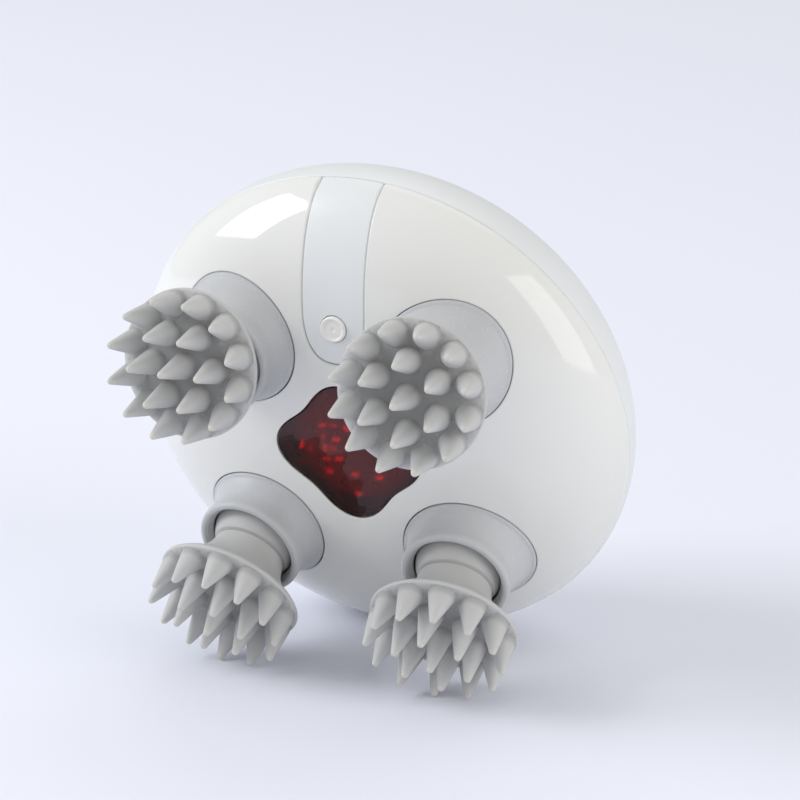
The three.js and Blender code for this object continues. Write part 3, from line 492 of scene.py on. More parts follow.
def panel(name, dome, loops, spacing, thickness, sink=0.0):
    """A panel of the dome with rounded edges, a wall and ledges in its grooves.

    A loop is where the top ends, the panel's true edge, its rounding, and its ledge's depth and reach.
    The first loop is the outer one. A top point on the rim is written as (x, y, height).
    """

    def unroll(p):
        if len(p) == 2:
            return dome.unrolled(p[0], p[1])
        reach = float(np.interp(-p[2], [-h for h in dome.heights], dome.reaches))
        r = math.hypot(p[0], p[1])
        return (p[0] / r * reach, p[1] / r * reach)

    flats = [[unroll(p) for p in loop[0]] for loop in loops]
    flat, top_faces, order = filled_region(flats[0], flats[1:], spacing)
    vertices = []
    normals = []
    for u, v in flat:
        point, normal = dome.point(u, v)
        vertices.append(point - normal * sink)
        normals.append(normal)
    count = len(vertices)
    faces = list(top_faces)
    slots = [0] * len(faces)
    under = [v - n * thickness for v, n in zip(vertices, normals)]

    # Each loop's rounding, wall and ledge, whose last points take the place of those of the underside
    start = 0
    for index, (top, edge, rounding, depth, reach) in enumerate(loops):
        size = len(top)
        ring = order[start : start + size]
        start += size
        outward = (signed_area(flats[index]) > 0) == (index == 0)
        sides = []
        for i in range(size):
            toward = Vector(edge[i]) - vertices[ring[i]]
            sides.append((toward - normals[ring[i]] * normals[ring[i]].dot(toward)).normalized())
        for number, run in enumerate(edge_runs(rounding, thickness, depth, reach)):
            previous = None
            for shift, down, turn in run:
                current = list(ring) if number == 0 and shift == 0 else None
                if current is None:
                    current = list(range(len(vertices), len(vertices) + size))
                    for i in range(size):
                        up = normals[ring[i]]
                        vertices.append(vertices[ring[i]] + sides[i] * shift - up * down)
                        normals.append(sides[i] * math.sin(turn) + up * math.cos(turn))
                if previous:
                    for i in range(size):
                        k = (i + 1) % size
                        quad = (previous[i], previous[k], current[k], current[i])
                        faces.append(quad[::-1] if outward else quad)
                        slots.append(number % 2)
                previous = current
        for i in range(size):
            under[ring[i]] = vertices[previous[i]]

    # The underside, with the same triangles turned over
    faces += [tuple(len(vertices) + i for i in reversed(face)) for face in top_faces]
    slots += [0] * len(top_faces)
    vertices += under
    normals += [-n for n in normals[:count]]
    piece = add_mesh(name, vertices, faces, BODY, slots=slots)
    set_normals(piece, normals, BODY)
    return piece


def on_dome(dome, x, y):
    """The dome's point over a place on the seam's plane."""
    return Vector((x, y, dome.z(math.hypot(x, y))))


def circle(cx, cy, radius, steps):
    angles = [2 * math.pi * i / steps for i in range(steps)]
    return [(cx + radius * math.cos(a), cy + radius * math.sin(a)) for a in angles]


def window_outline(shell, offset, steps=160):
    """The window's four-lobed outline, moved outwards by an offset."""
    points = []
    for i in range(steps):
        angle = 2 * math.pi * i / steps
        r = shell.window_radius + offset + shell.window_lobe * math.cos(4 * angle)
        points.append((r * math.cos(angle), r * math.sin(angle)))
    return points


def tongue_outline(shell, offset, end_gap=0.0, steps=72):
    """The rounded end of the tongue, from its right side to its left side."""
    width = shell.tongue_half_width + offset
    reach = shell.tongue_round + offset - end_gap
    start = shell.tongue_end + shell.tongue_round
    points = []
    for i in range(steps + 1):
        angle = i / steps * math.pi
        cosine = math.cos(angle)
        across = math.copysign(abs(cosine) ** (2 / shell.tongue_power), cosine)
        drop = math.sin(angle) ** (2 / shell.tongue_power)
        points.append((width * across, start - reach * drop))
    return points


def tongue_side(shell, dome, offset, end_height, steps=30):
    """The right side of the tongue, from the rim down to the start of its rounded end."""
    crowding = 1.6
    width = shell.tongue_half_width + offset
    start = shell.tongue_end + shell.tongue_round
    end_reach = float(np.interp(-end_height, [-h for h in dome.heights], dome.reaches))
    end_r = float(np.interp(end_reach, dome.reaches, dome.radii))
    end_y = math.sqrt(end_r ** 2 - width ** 2)
    shares = [1 - (1 - i / steps) ** crowding for i in range(steps)]
    return [(width, end_y + (start - end_y) * share) for share in shares]


def tongue_border(shell, dome, offset, rim, end_gap=0.0):
    """The tongue's edge, from the rim on its right round its end to the rim on its left."""
    side = tongue_side(shell, dome, offset, rim)
    other = [(-x, y) for x, y in reversed(side)]
    return side + tongue_outline(shell, offset, end_gap) + other


# Materials


# Sockets of a Mix node that mixes colours
MIX_FACTOR = 0
MIX_A = 6
MIX_B = 7
MIX_RESULT = 2


def new_material(name, base, roughness, **sockets):
    """A Principled material with its plain values on the shader's own sockets."""
    material = bpy.data.materials.new(name)
    material.use_nodes = True
    shader = shader_of(material)
    shader.inputs["Base Color"].default_value = (*base, 1)
    shader.inputs["Roughness"].default_value = roughness
    for socket, value in sockets.items():
        shader.inputs[socket.replace("_", " ")].default_value = value
    material.diffuse_color = (*base, 1)
    return material


def shader_of(material):
    return material.node_tree.nodes["Principled BSDF"]


def link(output, target):
    """Joins an output socket to an input socket of the same material."""
    output.id_data.links.new(output, target)


def texture(material, scale, detail, roughness=0.5, stretch=(1, 1, 1)):
    """Values of a noise texture in object coordinates."""
    nodes = material.node_tree.nodes
    place = nodes.new("ShaderNodeTexCoord")
    mapping = nodes.new("ShaderNodeMapping")
    mapping.inputs["Scale"].default_value = stretch
    grain = nodes.new("ShaderNodeTexNoise")
    grain.inputs["Scale"].default_value = scale
    grain.inputs["Detail"].default_value = detail
    grain.inputs["Roughness"].default_value = roughness
    link(place.outputs["Object"], mapping.inputs["Vector"])
    link(mapping.outputs["Vector"], grain.inputs["Vector"])
    return grain.outputs["Fac"]


def attribute(material, name):
    """Values of a mesh attribute."""
    node = material.node_tree.nodes.new("ShaderNodeAttribute")
    node.attribute_name = name
    return node.outputs["Fac"]


def spread(values, start, end, low, high):
    """Values between start and end as values between low and high."""
    node = values.id_data.nodes.new("ShaderNodeMapRange")
    node.inputs["From Min"].default_value = start
    node.inputs["From Max"].default_value = end
    node.inputs["To Min"].default_value = low
    node.inputs["To Max"].default_value = high
    link(values, node.inputs["Value"])
    return node.outputs["Result"]


def mix_colours(values, first, second):
    """A Mix node from a first to a second colour by some values."""
    mix = values.id_data.nodes.new("ShaderNodeMix")
    mix.data_type = "RGBA"
    mix.inputs[MIX_A].default_value = (*first, 1)
    mix.inputs[MIX_B].default_value = (*second, 1)
    link(values, mix.inputs[MIX_FACTOR])
    return mix


def ramp(values, *stops):
    """Colours of a ramp through two or more (position, colour) stops."""
    node = values.id_data.nodes.new("ShaderNodeValToRGB")
    elements = node.color_ramp.elements
    for i, (position, shade) in enumerate(stops):
        stop = elements[i] if i < 2 else elements.new(position)
        stop.position = position
        stop.color = (*shade, 1)
    link(values, node.inputs["Fac"])
    return node.outputs["Color"]


def times(shade, factor):
    return [v * factor for v in shade]


def mottle(material, base, change, scale):
    """Varies the base colour a little over the surface."""
    light = [min(1, v * (1 + change)) for v in base]
    mix = mix_colours(texture(material, scale, detail=4.0), times(base, 1 - change), light)
    link(mix.outputs[MIX_RESULT], shader_of(material).inputs["Base Color"])
    return mix


def vary_roughness(material, low, high, scale):
    grain = texture(material, scale, detail=5.0, roughness=0.6)
    link(spread(grain, 0.3, 0.7, low, high), shader_of(material).inputs["Roughness"])


def grain_bump(material, scale, strength, distance, detail=2.0):
    """Fine relief of the moulded surface."""
    bump = material.node_tree.nodes.new("ShaderNodeBump")
    bump.inputs["Strength"].default_value = strength
    bump.inputs["Distance"].default_value = distance
    link(texture(material, scale, detail), bump.inputs["Height"])
    link(bump.outputs["Normal"], shader_of(material).inputs["Normal"])


def gloss_white():
    finish = bpy.context.scene.massager_finish
    material = new_material("gloss_white_shell", finish.gloss_white, 0.07, IOR=1.5)
    mottle(material, finish.gloss_white, change=0.012, scale=40)
    vary_roughness(material, low=0.05, high=0.09, scale=70)
    grain_bump(material, scale=60, strength=0.06, distance=0.0004)
    return material


def satin_white():
    finish = bpy.context.scene.massager_finish
    material = new_material("satin_white_shell", finish.satin_white, 0.36, IOR=1.49)
    mottle(material, finish.satin_white, change=0.014, scale=55)
    vary_roughness(material, low=0.3, high=0.42, scale=120)
    grain_bump(material, scale=2600, strength=0.14, distance=0.00006)
    return material


def button_white():
    finish = bpy.context.scene.massager_finish
    material = new_material("button_white", finish.button, 0.3, IOR=1.49)
    mottle(material, finish.button, change=0.01, scale=90)
    vary_roughness(material, low=0.25, high=0.36, scale=200)
    return material


def groove_floor():
    """Warm grey on the ledges at the floor of the narrow grooves."""
    finish = bpy.context.scene.massager_finish
    material = new_material("groove_floor", finish.groove, 0.6)
    mottle(material, finish.groove, change=0.1, scale=500)
    return material


def silicone(name, base, low, high):
    """Matte silicone with faint mottling, specks of dust and a fine grain, and its colour's Mix node."""
    dust = (0.9, 0.9, 0.88)
    material = new_material(name, base, 0.6, IOR=1.41)
    shade = mottle(material, base, change=0.03, scale=160)
    grain = texture(material, 2200, detail=2.0, roughness=0.4)
    specks = spread(grain, start=0.64, end=0.8, low=0.0, high=0.4)
    dusted = mix_colours(specks, base, dust)
    link(shade.outputs[MIX_RESULT], dusted.inputs[MIX_A])
    link(dusted.outputs[MIX_RESULT], shader_of(material).inputs["Base Color"])
    vary_roughness(material, low, high, scale=140)
    grain_bump(material, scale=1500, strength=0.2, distance=0.00006, detail=3.0)
    return material, dusted


def collar_silicone():
    finish = bpy.context.scene.massager_finish
    return silicone("collar_silicone", finish.collar_grey, 0.42, 0.58)[0]


def pad_silicone():
    """The pads' silicone, with painted shade that darkens it between the cones and at the cones' feet, and warmer
    and lighter towards their tips.
    """
    finish = bpy.context.scene.massager_finish
    grey = finish.pad_grey
    material, shade = silicone("pad_silicone", (0.94, 0.94, 0.94), 0.5, 0.66)
    # Painted shade: the ramp's lowest stop darkens the pad's front between the cones and the cones' feet to about
    # half.
    stops = ((0.0, times(grey, 0.53)), (0.3, grey), (0.86, times(grey, 1.04)), (0.98, finish.pad_tip))
    warm = material.node_tree.nodes.new("ShaderNodeMix")
    warm.data_type = "RGBA"
    warm.blend_type = "MULTIPLY"
    warm.inputs[MIX_FACTOR].default_value = 1.0
    link(shade.outputs[MIX_RESULT], warm.inputs[MIX_A])
    link(ramp(attribute(material, "tip"), *stops), warm.inputs[MIX_B])
    link(warm.outputs[MIX_RESULT], shader_of(material).inputs["Base Color"])
    return material


def moulded(name, base, roughness, scale=300, **sockets):
    """A plain moulded, turned or coated finish with a fine grain."""
    material = new_material(name, base, roughness, **sockets)
    mottle(material, base, change=0.06, scale=scale)
    grain_bump(material, scale * 4, strength=0.15, distance=0.00005)
    return material


def paint(piece, *materials):
    """Puts materials into a piece's slots, in order."""
    piece.data.materials.clear()
    for material in materials:
        piece.data.materials.append(material)


def shared(maker):
    """A finish that is made once and used by many pieces."""
    for material in bpy.data.materials:
        if material.get("finish") == maker.__name__:
            return material
    material = maker()
    material["finish"] = maker.__name__
    return material


# Pieces


def rim_path(dome, height, start, end, steps):
    """Rim points at a height between two angles, as (x, y, height)."""
    r = float(np.interp(-height, [-h for h in dome.heights], dome.radii))
    angles = [start + (end - start) * i / steps for i in range(steps)]
    return [(r * math.cos(angle), r * math.sin(angle), height) for angle in angles]


def rim_opening(dome, height, half_width):
    """Angle at the body's axis from the tongue's middle line to its side, at a height of the rim."""
    r = float(np.interp(-height, [-h for h in dome.heights], dome.radii))
    return math.asin(half_width / r)


def make_face_shell(shell, heads):
    """The glossy shell, open for the tongue, the four collars and the window."""
    spacing = 1.7 * MM
    rim_steps = 240
    hole_steps = 120
    dome = Dome(shell)
    f = shell.edge_radius
    low = shell.seam_gap / 2
    rim = low + f
    gap = shell.panel_gap
    opening = rim_opening(dome, rim, shell.tongue_half_width + gap + f)
    first = math.pi / 2 + opening
    outer_top = rim_path(dome, rim, first, first + 2 * math.pi - 2 * opening, rim_steps)
    outer_edge = [Vector((p[0], p[1], low)) for p in outer_top]
    outer_top += tongue_border(shell, dome, gap + f, rim)
    outer_edge += [on_dome(dome, *p) for p in tongue_border(shell, dome, gap, rim)]
    loops = [(outer_top, outer_edge, f, shell.groove_depth, shell.groove_ledge)]
    hole = heads.collar_radius + shell.collar_gap
    rounding = 0.8 * f
    for side_x, up, _, _ in HEADS.values():
        x = side_x * heads.collar_place
        y = up * heads.collar_place
        top = circle(x, y, hole + rounding, hole_steps)
        edge = [on_dome(dome, *p) for p in circle(x, y, hole, hole_steps)]
        loops.append((top, edge, rounding, 0, 0))
    top = window_outline(shell, gap + rounding)
    loops.append((top, [on_dome(dome, *p) for p in window_outline(shell, gap)], rounding, 0, 0))
    piece = panel("face_shell_smooth", dome, loops, spacing, shell.wall)
    paint(piece, shared(gloss_white), shared(groove_floor))
    carry(piece, "housing", "gloss_shell", "face_shell")


def button_frame(shell, dome):
    """The button's frame in the row: its origin on the dome, its Z along the dome's normal."""
    place = on_dome(dome, 0, shell.button_place)
    side = dome.normal_at(place.y, place.z)
    z_axis = Vector((0, side.x, side.y))
    x_axis = Vector((1, 0, 0))
    return BODY @ basis(x_axis, z_axis.cross(x_axis), z_axis, place)


def make_tongue(shell):
    """The satin panel in the face shell, with the button's hole."""
    spacing = 0.9 * MM
    rim_steps = 24
    hole_steps = 64
    dome = Dome(shell)
    f = shell.edge_radius
    low = shell.seam_gap / 2
    rim = low + f
    end_gap = shell.tongue_end_gap
    opening = rim_opening(dome, rim, shell.tongue_half_width - f)
    outer_top = rim_path(dome, rim, math.pi / 2 - opening, math.pi / 2 + opening, rim_steps)
    outer_edge = [Vector((p[0], p[1], low)) for p in outer_top]
    outer_top += tongue_border(shell, dome, -f, rim, end_gap)[::-1]
    outer_edge += [on_dome(dome, *p) for p in tongue_border(shell, dome, 0, rim, end_gap)[::-1]]
    hole = shell.button_radius + shell.button_gap
    rounding = 0.12 * MM
    top = circle(0, shell.button_place, hole + rounding, hole_steps)
    edge = [on_dome(dome, *p) for p in circle(0, shell.button_place, hole, hole_steps)]
    loops = [
        (outer_top, outer_edge, f, shell.groove_depth, shell.groove_ledge),
        (top, edge, rounding, shell.groove_depth, 0.6 * shell.button_gap),
    ]
    piece = panel("tongue_panel_smooth", dome, loops, spacing, shell.wall, shell.tongue_sink)
    paint(piece, shared(satin_white), shared(groove_floor))
    carry(piece, "housing", "satin_shell", "tongue_panel")


# The button's raised rim as (inset from its edge, drop below its top), in millimetres
BUTTON_RIM = ((0.02, 0.28), (0.14, 0.06), (0.34, 0), (0.54, 0.05), (0.76, 0.26), (1.05, 0.34))
# Its dish and dimple as (radius, drop below its top), in millimetres
BUTTON_DISH = ((0.9, 0.3), (0.58, 0.34), (0.3, 0.56), (0, 0.62))


def make_button(shell):
    """The push button: a straight skirt, a raised rim, a dish and a small dimple."""
    steps = 64
    r = shell.button_radius
    top = shell.button_proud
    keys = [(r, -2.4 * MM), (r, -0.4 * MM)]
    keys += [(r - inset * MM, top - drop * MM) for inset, drop in BUTTON_RIM]
    keys += [(radius * MM, top - drop * MM) for radius, drop in BUTTON_DISH]
    profile = smooth_profile(keys, parts=3)
    piece = lathe(profile, steps, button_frame(shell, Dome(shell)), "power_button_smooth")
    paint(piece, shared(button_white))
    carry(piece, "button", "satin_shell", "power_button")


def lens_glass():
    finish = bpy.context.scene.massager_finish
    material = new_material("red_lens", finish.lens_red, 0.03, IOR=1.45, Transmission_Weight=1.0)
    vary_roughness(material, low=0.015, high=0.05, scale=60)
    return material


def lens_frost():
    """The lens's frosted underside, which blurs the lamps."""
    finish = bpy.context.scene.massager_finish
    material = new_material("red_lens_frost", finish.lens_red, 0.3, IOR=1.45, Transmission_Weight=1.0)
    vary_roughness(material, low=0.25, high=0.36, scale=300)
    return material


def lens_rim():
    base = (0.09, 0.012, 0.014)
    material = new_material("dark_red_rim", base, 0.2)
    mottle(material, base, change=0.2, scale=200)
    return material


def tray_black():
    return moulded("black_tray", (0.012, 0.01, 0.01), 0.35)


def make_window(shell):
    """The red lens: clear on top, frosted underneath and dark along its edge."""
    dome = Dome(shell)
    spacing = 1.0 * MM
    rounding = 0.2 * MM
    level = 0.85
    top = window_outline(shell, -rounding)
    edge = [on_dome(dome, *p) for p in window_outline(shell, 0)]
    loops = [(top, edge, rounding, 0, 0)]
    piece = panel("window_lens_smooth", dome, loops, spacing, shell.lens_thickness)
    paint(piece, shared(lens_glass), shared(lens_rim), shared(lens_frost))
    turn = TO_BODY.to_3x3()
    for face in piece.data.polygons:
        up = (turn @ face.normal).z
        if abs(up) < level:
            face.material_index = 1
        elif up < 0:
            face.material_index = 2
    carry(piece, "housing", "window", "window_lens")


def red_liner():
    """The tray's inner wall, with a painted red glow in patches, standing in for its lamps' light."""
    finish = bpy.context.scene.massager_finish
    material = new_material("red_lit_liner", (0.16, 0.01, 0.012), 0.35)
    grain = texture(material, 260, detail=2.0, stretch=(1, 1, 3))
    light = ramp(grain, (0.45, (0.03, 0.001, 0.001)), (0.75, finish.glow_red))
    # Painted glow: emission in noise patches, though the wall is no lamp.
    link(light, shader_of(material).inputs["Emission Color"])
    shader_of(material).inputs["Emission Strength"].default_value = 0.3
    return material


def lamp_glow():
    """The lamps' light, weaker where the glow attribute is low."""
    finish = bpy.context.scene.massager_finish
    material = new_material("red_lamp", finish.glow_red, 0.4)
    mix = mix_colours(attribute(material, "glow"), (0, 0, 0), finish.glow_red)
    link(mix.outputs[MIX_RESULT], shader_of(material).inputs["Emission Color"])
    shader_of(material).inputs["Emission Strength"].default_value = 1.5
    return material


def board_painted_glow():
    """Board painted red with a faint painted glow, which stand in for its lamps' red light on it."""
    base = (0.34, 0.025, 0.035)
    material = new_material("dark_red_board", base, 0.5)
    mottle(material, base, change=0.3, scale=220)
    grain_bump(material, scale=500, strength=0.2, distance=0.0001)
    # Painted glow: a faint red emission, though the board is no lamp.
    shader_of(material).inputs["Emission Color"].default_value = (1.0, 0.02, 0.03, 1)
    shader_of(material).inputs["Emission Strength"].default_value = 0.05
    return material


# Lamps as (x, y, turn, glow) on the board, in millimetres and degrees
LAMPS = (
    (-6.8, 4.2, 20, 0.7),
    (-4.2, 4.6, 0, 0.4),
    (-1.1, 4.2, -30, 1.0),
    (-12.4, -1.6, 70, 0.9),
    (-6.9, -1.5, 90, 0.7),
    (-4.0, 1.0, 0, 0.9),
    (-10.4, -2.0, 80, 0.35),
    (-6.9, 1.4, 80, 0.35),
    (-5.0, -1.4, 0, 0.45),
    (-6.8, -4.3, 0, 0.55),
    (-4.0, -4.0, 10, 0.9),
    (-6.7, -7.5, -15, 0.7),
    (-0.7, -7.5, 5, 0.75),
    (-0.6, -12.4, -20, 0.6),
    (5.0, -7.4, 15, 0.9),
)


def node_corners(name):
    """Vertices of a CAD node in the body's frame."""
    return [TO_BODY @ Vector(v.co) for v in frame["nodes"][name].data.vertices]


def make_lamp_board():
    """Round board under the lens. Returns the height of its top, on which the lamps stand."""
    steps = 96
    lamp_room = 0.8 * MM
    thickness = 1.2 * MM
    corners = node_corners("led_board")
    flat = max(c.z for c in corners) - lamp_room
    radius = max(math.hypot(c.x, c.y) for c in corners)
    outline = [(0, flat - thickness), (radius, flat - thickness), (radius, flat), (0, flat)]
    board = lathe(outline, steps, BODY, "lamp_board")
    board.data.shade_flat()
    paint(board, shared(board_painted_glow))
    carry(board, "housing", "circuit_board", "led_board")
    return flat


def make_lamps(flat):
    """Small lit lamps on the board, each a block with a narrower top."""
    half_x, half_y, tall = 0.8 * MM, 0.3 * MM, 0.75 * MM
    levels = ((0, 1.0), (0.8 * tall, 1.0), (tall, 0.75))
    vertices = []
    faces = []
    glow = []
    for x, y, turn, share in LAMPS:
        place = Matrix.Translation((x * MM, y * MM, flat)) @ Matrix.Rotation(math.radians(turn), 4, "Z")
        start = len(vertices)
        for z, shrink in levels:
            for sx, sy in ((-1, -1), (1, -1), (1, 1), (-1, 1)):
                vertices.append(place @ Vector((sx * half_x * shrink, sy * half_y * shrink, z)))
        for low in (start, start + 4):
            for i in range(4):
                k = (i + 1) % 4
                faces.append((low + i, low + k, low + 4 + k, low + 4 + i))
        faces.append(tuple(range(start + 8, start + 12)))
        faces.append(tuple(range(start + 3, start - 1, -1)))
        glow += [share] * 12
    lamps = add_mesh("window_lamps", vertices, faces, BODY, smooth=False)
    lamps.data.attributes.new("glow", "FLOAT", "POINT").data.foreach_set("value", glow)
    paint(lamps, shared(lamp_glow))
    carry(lamps, "housing", "circuit_board")


def make_tray(shell):
    """Black tray around the lamps, whose inner wall has a painted red glow below its dark upper part."""
    bevel = 0.1 * MM
    dark_part = 1.3 * MM
    level = 0.5
    wall = node_corners("light_shroud")
    bottom = min(c.z for c in wall)
    top = max(c.z for c in wall)
    middle = top - dark_part
    reaches = [math.hypot(c.x, c.y) for c in wall]
    inner = min(reaches) - (shell.window_radius - shell.window_lobe)
    outer = max(reaches) - (shell.window_radius + shell.window_lobe)
    offsets = [
        (outer, bottom),
        (outer, top - bevel),
        (outer - bevel, top),
        (inner + bevel, top),
        (inner, top - bevel),
        (inner, middle),
        (inner, bottom),
    ]
    rings = [[(x, y, z) for x, y in window_outline(shell, offset)] for offset, z in offsets]
    tray = ring_loft(rings, BODY, "light_tray")
    paint(tray, shared(tray_black), shared(red_liner))
    turn = TO_BODY.to_3x3()
    for face in tray.data.polygons:
        centre = TO_BODY @ face.center
        normal = turn @ face.normal
        inward = normal.x * centre.x + normal.y * centre.y < 0
        # The lower inner wall takes the liner's painted glow.
        if inward and abs(normal.z) < level and centre.z < middle:
            face.material_index = 1
    carry(tray, "housing", "black_plastic", "light_shroud")


def make_rear_cover(shell):
    """Half of a flattened ball with a rest flat, a rounded edge at the seam and an inner wall."""
    steps = 192
    outer_steps = 60
    round_steps = 4
    inner_steps = 24
    inner_drop = 0.1 * MM
    radius = shell.body_radius
    flat = shell.rest_radius
    depth = shell.rear_depth * math.sqrt(1 - (flat / radius) ** 2)
    low = shell.seam_gap / 2
    f = shell.edge_radius
    start = math.acos(depth / shell.rear_depth)
    profile = [(0, -depth), (flat * 0.5, -depth), (flat * 0.9, -depth)]
    for i in range(2, outer_steps + 1):
        turn = start + i / outer_steps * (math.pi / 2 - start)
        z = -shell.rear_depth * math.cos(turn)
        if z > -low - f:
            break
        profile.append((radius * math.sin(turn), z))
    for k in range(round_steps + 1):
        turn = k / round_steps * math.pi / 2
        profile.append((radius - f * (1 - math.cos(turn)), -low - f + f * math.sin(turn)))
    inner = radius - shell.wall
    profile.append((inner, -low))
    for i in range(inner_steps, -1, -1):
        turn = start + i / inner_steps * (math.pi / 2 - start)
        z = -(shell.rear_depth - shell.wall) * math.cos(turn)
        profile.append((inner * math.sin(turn), min(z, -low - inner_drop)))
    profile.append((0, -depth + shell.wall))
    piece = lathe(profile, steps, BODY, "rear_cover_smooth")
    paint(piece, shared(satin_white))
    carry(piece, "housing", "satin_shell", "rear_cover")


# A collar's foot, as (inset from its radius, rise over the dome), in millimetres
FOOT_WALL = ((0, -2.2), (0, -0.9), (0, -0.1))
FOOT_ROUND = ((0, -0.1), (0.04, 0.16), (0.18, 0.34), (0.4, 0.42))
# Its cove, as shares of the way (out, up) from the foot to the waist
COVE = ((0.18, 0.05), (0.42, 0.22), (0.68, 0.5), (0.9, 0.8))
# Its waist, as (step out from the waist's radius, height above the pivot), in millimetres
WAIST = ((0, 1.6), (0.03, 2.7))
# Its rolled lip with the inner step, as (inset from its radius, drop below its top), in millimetres
LIP = (
    (0.14, 2),
    (0, 1.2),
    (0.1, 0.5),
    (0.42, 0.12),
    (0.88, 0),
    (1.22, 0.06),
    (1.4, 0.26),
    (1.46, 0.46),
    (1.58, 0.56),
)
# The edge of its mouth, as (step out from the mouth's radius, drop below its top), in millimetres
MOUTH = (0.04, 0.84)
# The recess around the neck, as (inset from the mouth's radius, height above the pivot), in millimetres
RECESS = (
    (0.1, 4.5),
    (0.3, 4.18),
    (0.5, 3.82),
    (0.54, 3.4),
    (0.4, 2.8),
    (0.25, 2.2),
    (0.1, 1.3),
    (0.02, 0),
    (0.05, -1),
)
# Curve parts between the points of a collar's foot wall, foot rounding, outside and recess
COLLAR_PARTS = (2, 3, 4, 3)


def make_collar(name, heads, shell, steps=128):
    """A collar: a rounded foot along the dome, a cove, a rolled lip and a recess around the neck."""
    dome = Dome(shell)
    side, up = HEADS[name][:2]
    crank = TO_BODY @ crank_frame(name)
    centre = Vector((side * heads.collar_place, up * heads.collar_place, 0))
    start = math.atan2(-up, -side)

    def at_dome(radius, rise):
        def place(turn):
            x = centre.x + radius * math.cos(start + turn)
            y = centre.y + radius * math.sin(start + turn)
            return on_dome(dome, x, y) + Vector((0, 0, rise))

        return place

    def at_axis(radius, height):
        return lambda turn: crank @ Vector((radius * math.cos(turn), radius * math.sin(turn), height))

    def between(first, second, flat, rise):
        def place(turn):
            a = first(turn)
            b = second(turn)
            return Vector((a.x + (b.x - a.x) * flat, a.y + (b.y - a.y) * flat, a.z + (b.z - a.z) * rise))

        return place

    foot = heads.collar_radius
    top = heads.collar_top
    lip = heads.lip_radius
    mouth = heads.mouth_radius
    foot_wall = [at_dome(foot - inset * MM, rise * MM) for inset, rise in FOOT_WALL]
    foot_round = [at_dome(foot - inset * MM, rise * MM) for inset, rise in FOOT_ROUND]
    waist = [at_axis(heads.waist_radius + step * MM, height * MM) for step, height in WAIST]
    outside = [foot_round[-1]]
    outside += [between(foot_round[-1], waist[0], flat, rise) for flat, rise in COVE]
    outside += waist
    outside += [at_axis(lip - inset * MM, top - drop * MM) for inset, drop in LIP]
    outside.append(at_axis(mouth + MOUTH[0] * MM, top - MOUTH[1] * MM))
    recess = [outside[-1]]
    recess += [at_axis(mouth - inset * MM, height * MM) for inset, height in RECESS]
    columns = []
    for i in range(steps):
        turn = 2 * math.pi * i / steps
        column = []
        for group, parts in zip((foot_wall, foot_round, outside, recess), COLLAR_PARTS):
            curve = spline([place(turn) for place in group], parts)
            column += curve[1:] if column else curve
        columns.append(column)
    rings = [[tuple(column[i]) for column in columns] for i in range(len(columns[0]))]
    piece = ring_loft(rings, BODY, "collar_" + name + "_soft")
    paint(piece, shared(collar_silicone))
    carry(piece, "housing", "silicone", "collar_" + name)


# A pad's rim up to its front, as (inset from its radius, rise over its height), in millimetres
RIM = ((0.6, -0.42), (0.14, -0.06), (0.01, 0.25), (0.04, 0.55), (0.14, 0.76), (0.27, 0.84))


def front_height(heads, r):
    """Height of a pad's front at a radius: flat in the middle, falling to the rim."""
    flat = 6 * MM
    inset, rise = RIM[-1]
    edge = heads.pad_radius - inset * MM
    drop = heads.pad_crown - (heads.pad_edge + rise * MM)
    if r <= flat:
        return heads.pad_crown
    return heads.pad_crown - drop * ((r - flat) / (edge - flat)) ** 2


def front_share(heads, r):
    """Tip share of the pad's front, lower between the cones than near the rim, which gives the front painted shade
    between the cones.
    """
    rim_share = 0.3
    start = 0.62 * heads.pad_radius
    share = max(0.0, (r - start) / (heads.pad_radius - start))
    return rim_share * share * share


def cone_list(heads, inner_turn):
    """Feet and tips of a pad's cones, as (turn, foot radius, tip radius, tip height)."""
    cones = [(15 + 30 * i, heads.outer_place, heads.outer_tip_place, heads.outer_tip) for i in range(12)]
    inner = (heads.inner_place, heads.inner_tip_place, heads.inner_tip)
    cones += [(inner_turn + 60 * i, *inner) for i in range(6)]
    cones.append((0, 0.0, 0.0, heads.middle_tip))
    return cones


# Turns from the pad's axis to the points of the ball-shaped skirt, in degrees
SKIRT_TURNS = (98, 94, 90, 84, 78, 73, 68, 64)
# The skirt's lower end, as (inset from its radius, height above the pivot), in millimetres
SKIRT_END = (0.5, -1.3)
# The bead, as (inset from its radius, height above the pivot), in millimetres
BEAD = ((0, 4.72), (0.12, 4.98))
# The groove between bead and flare, as (step out from the neck, height above the pivot), in millimetres
NECK_GROOVE = ((0.06, 5.18), (-0.36, 5.32), (-0.38, 5.5), (-0.04, 5.68))
# Heights of the flare's points above the pivot, in millimetres
FLARE_HEIGHTS = [5.95 + 0.775 * k for k in range(12)]


def pad_profile(heads):
    """The pad's outline as (radius, height): skirt, bead, groove, flare and rim."""
    neck = heads.neck_radius
    skirt = heads.skirt_radius
    flare_foot = 5 * MM
    keys = [(skirt - SKIRT_END[0] * MM, SKIRT_END[1] * MM)]
    for turn in map(math.radians, SKIRT_TURNS):
        keys.append((skirt * math.sin(turn), skirt * math.cos(turn)))
    keys += [(heads.bead_radius - inset * MM, height * MM) for inset, height in BEAD]
    keys += [(neck + step * MM, height * MM) for step, height in NECK_GROOVE]
    for height in FLARE_HEIGHTS:
        share = (height * MM - flare_foot) / heads.flare_height
        keys.append((neck + heads.flare_reach * share ** heads.flare_power, height * MM))
    keys += [(heads.pad_radius - inset * MM, heads.pad_edge + rise * MM) for inset, rise in RIM]
    profile = smooth_profile(keys)
    profile[-1] = keys[-1]
    return profile


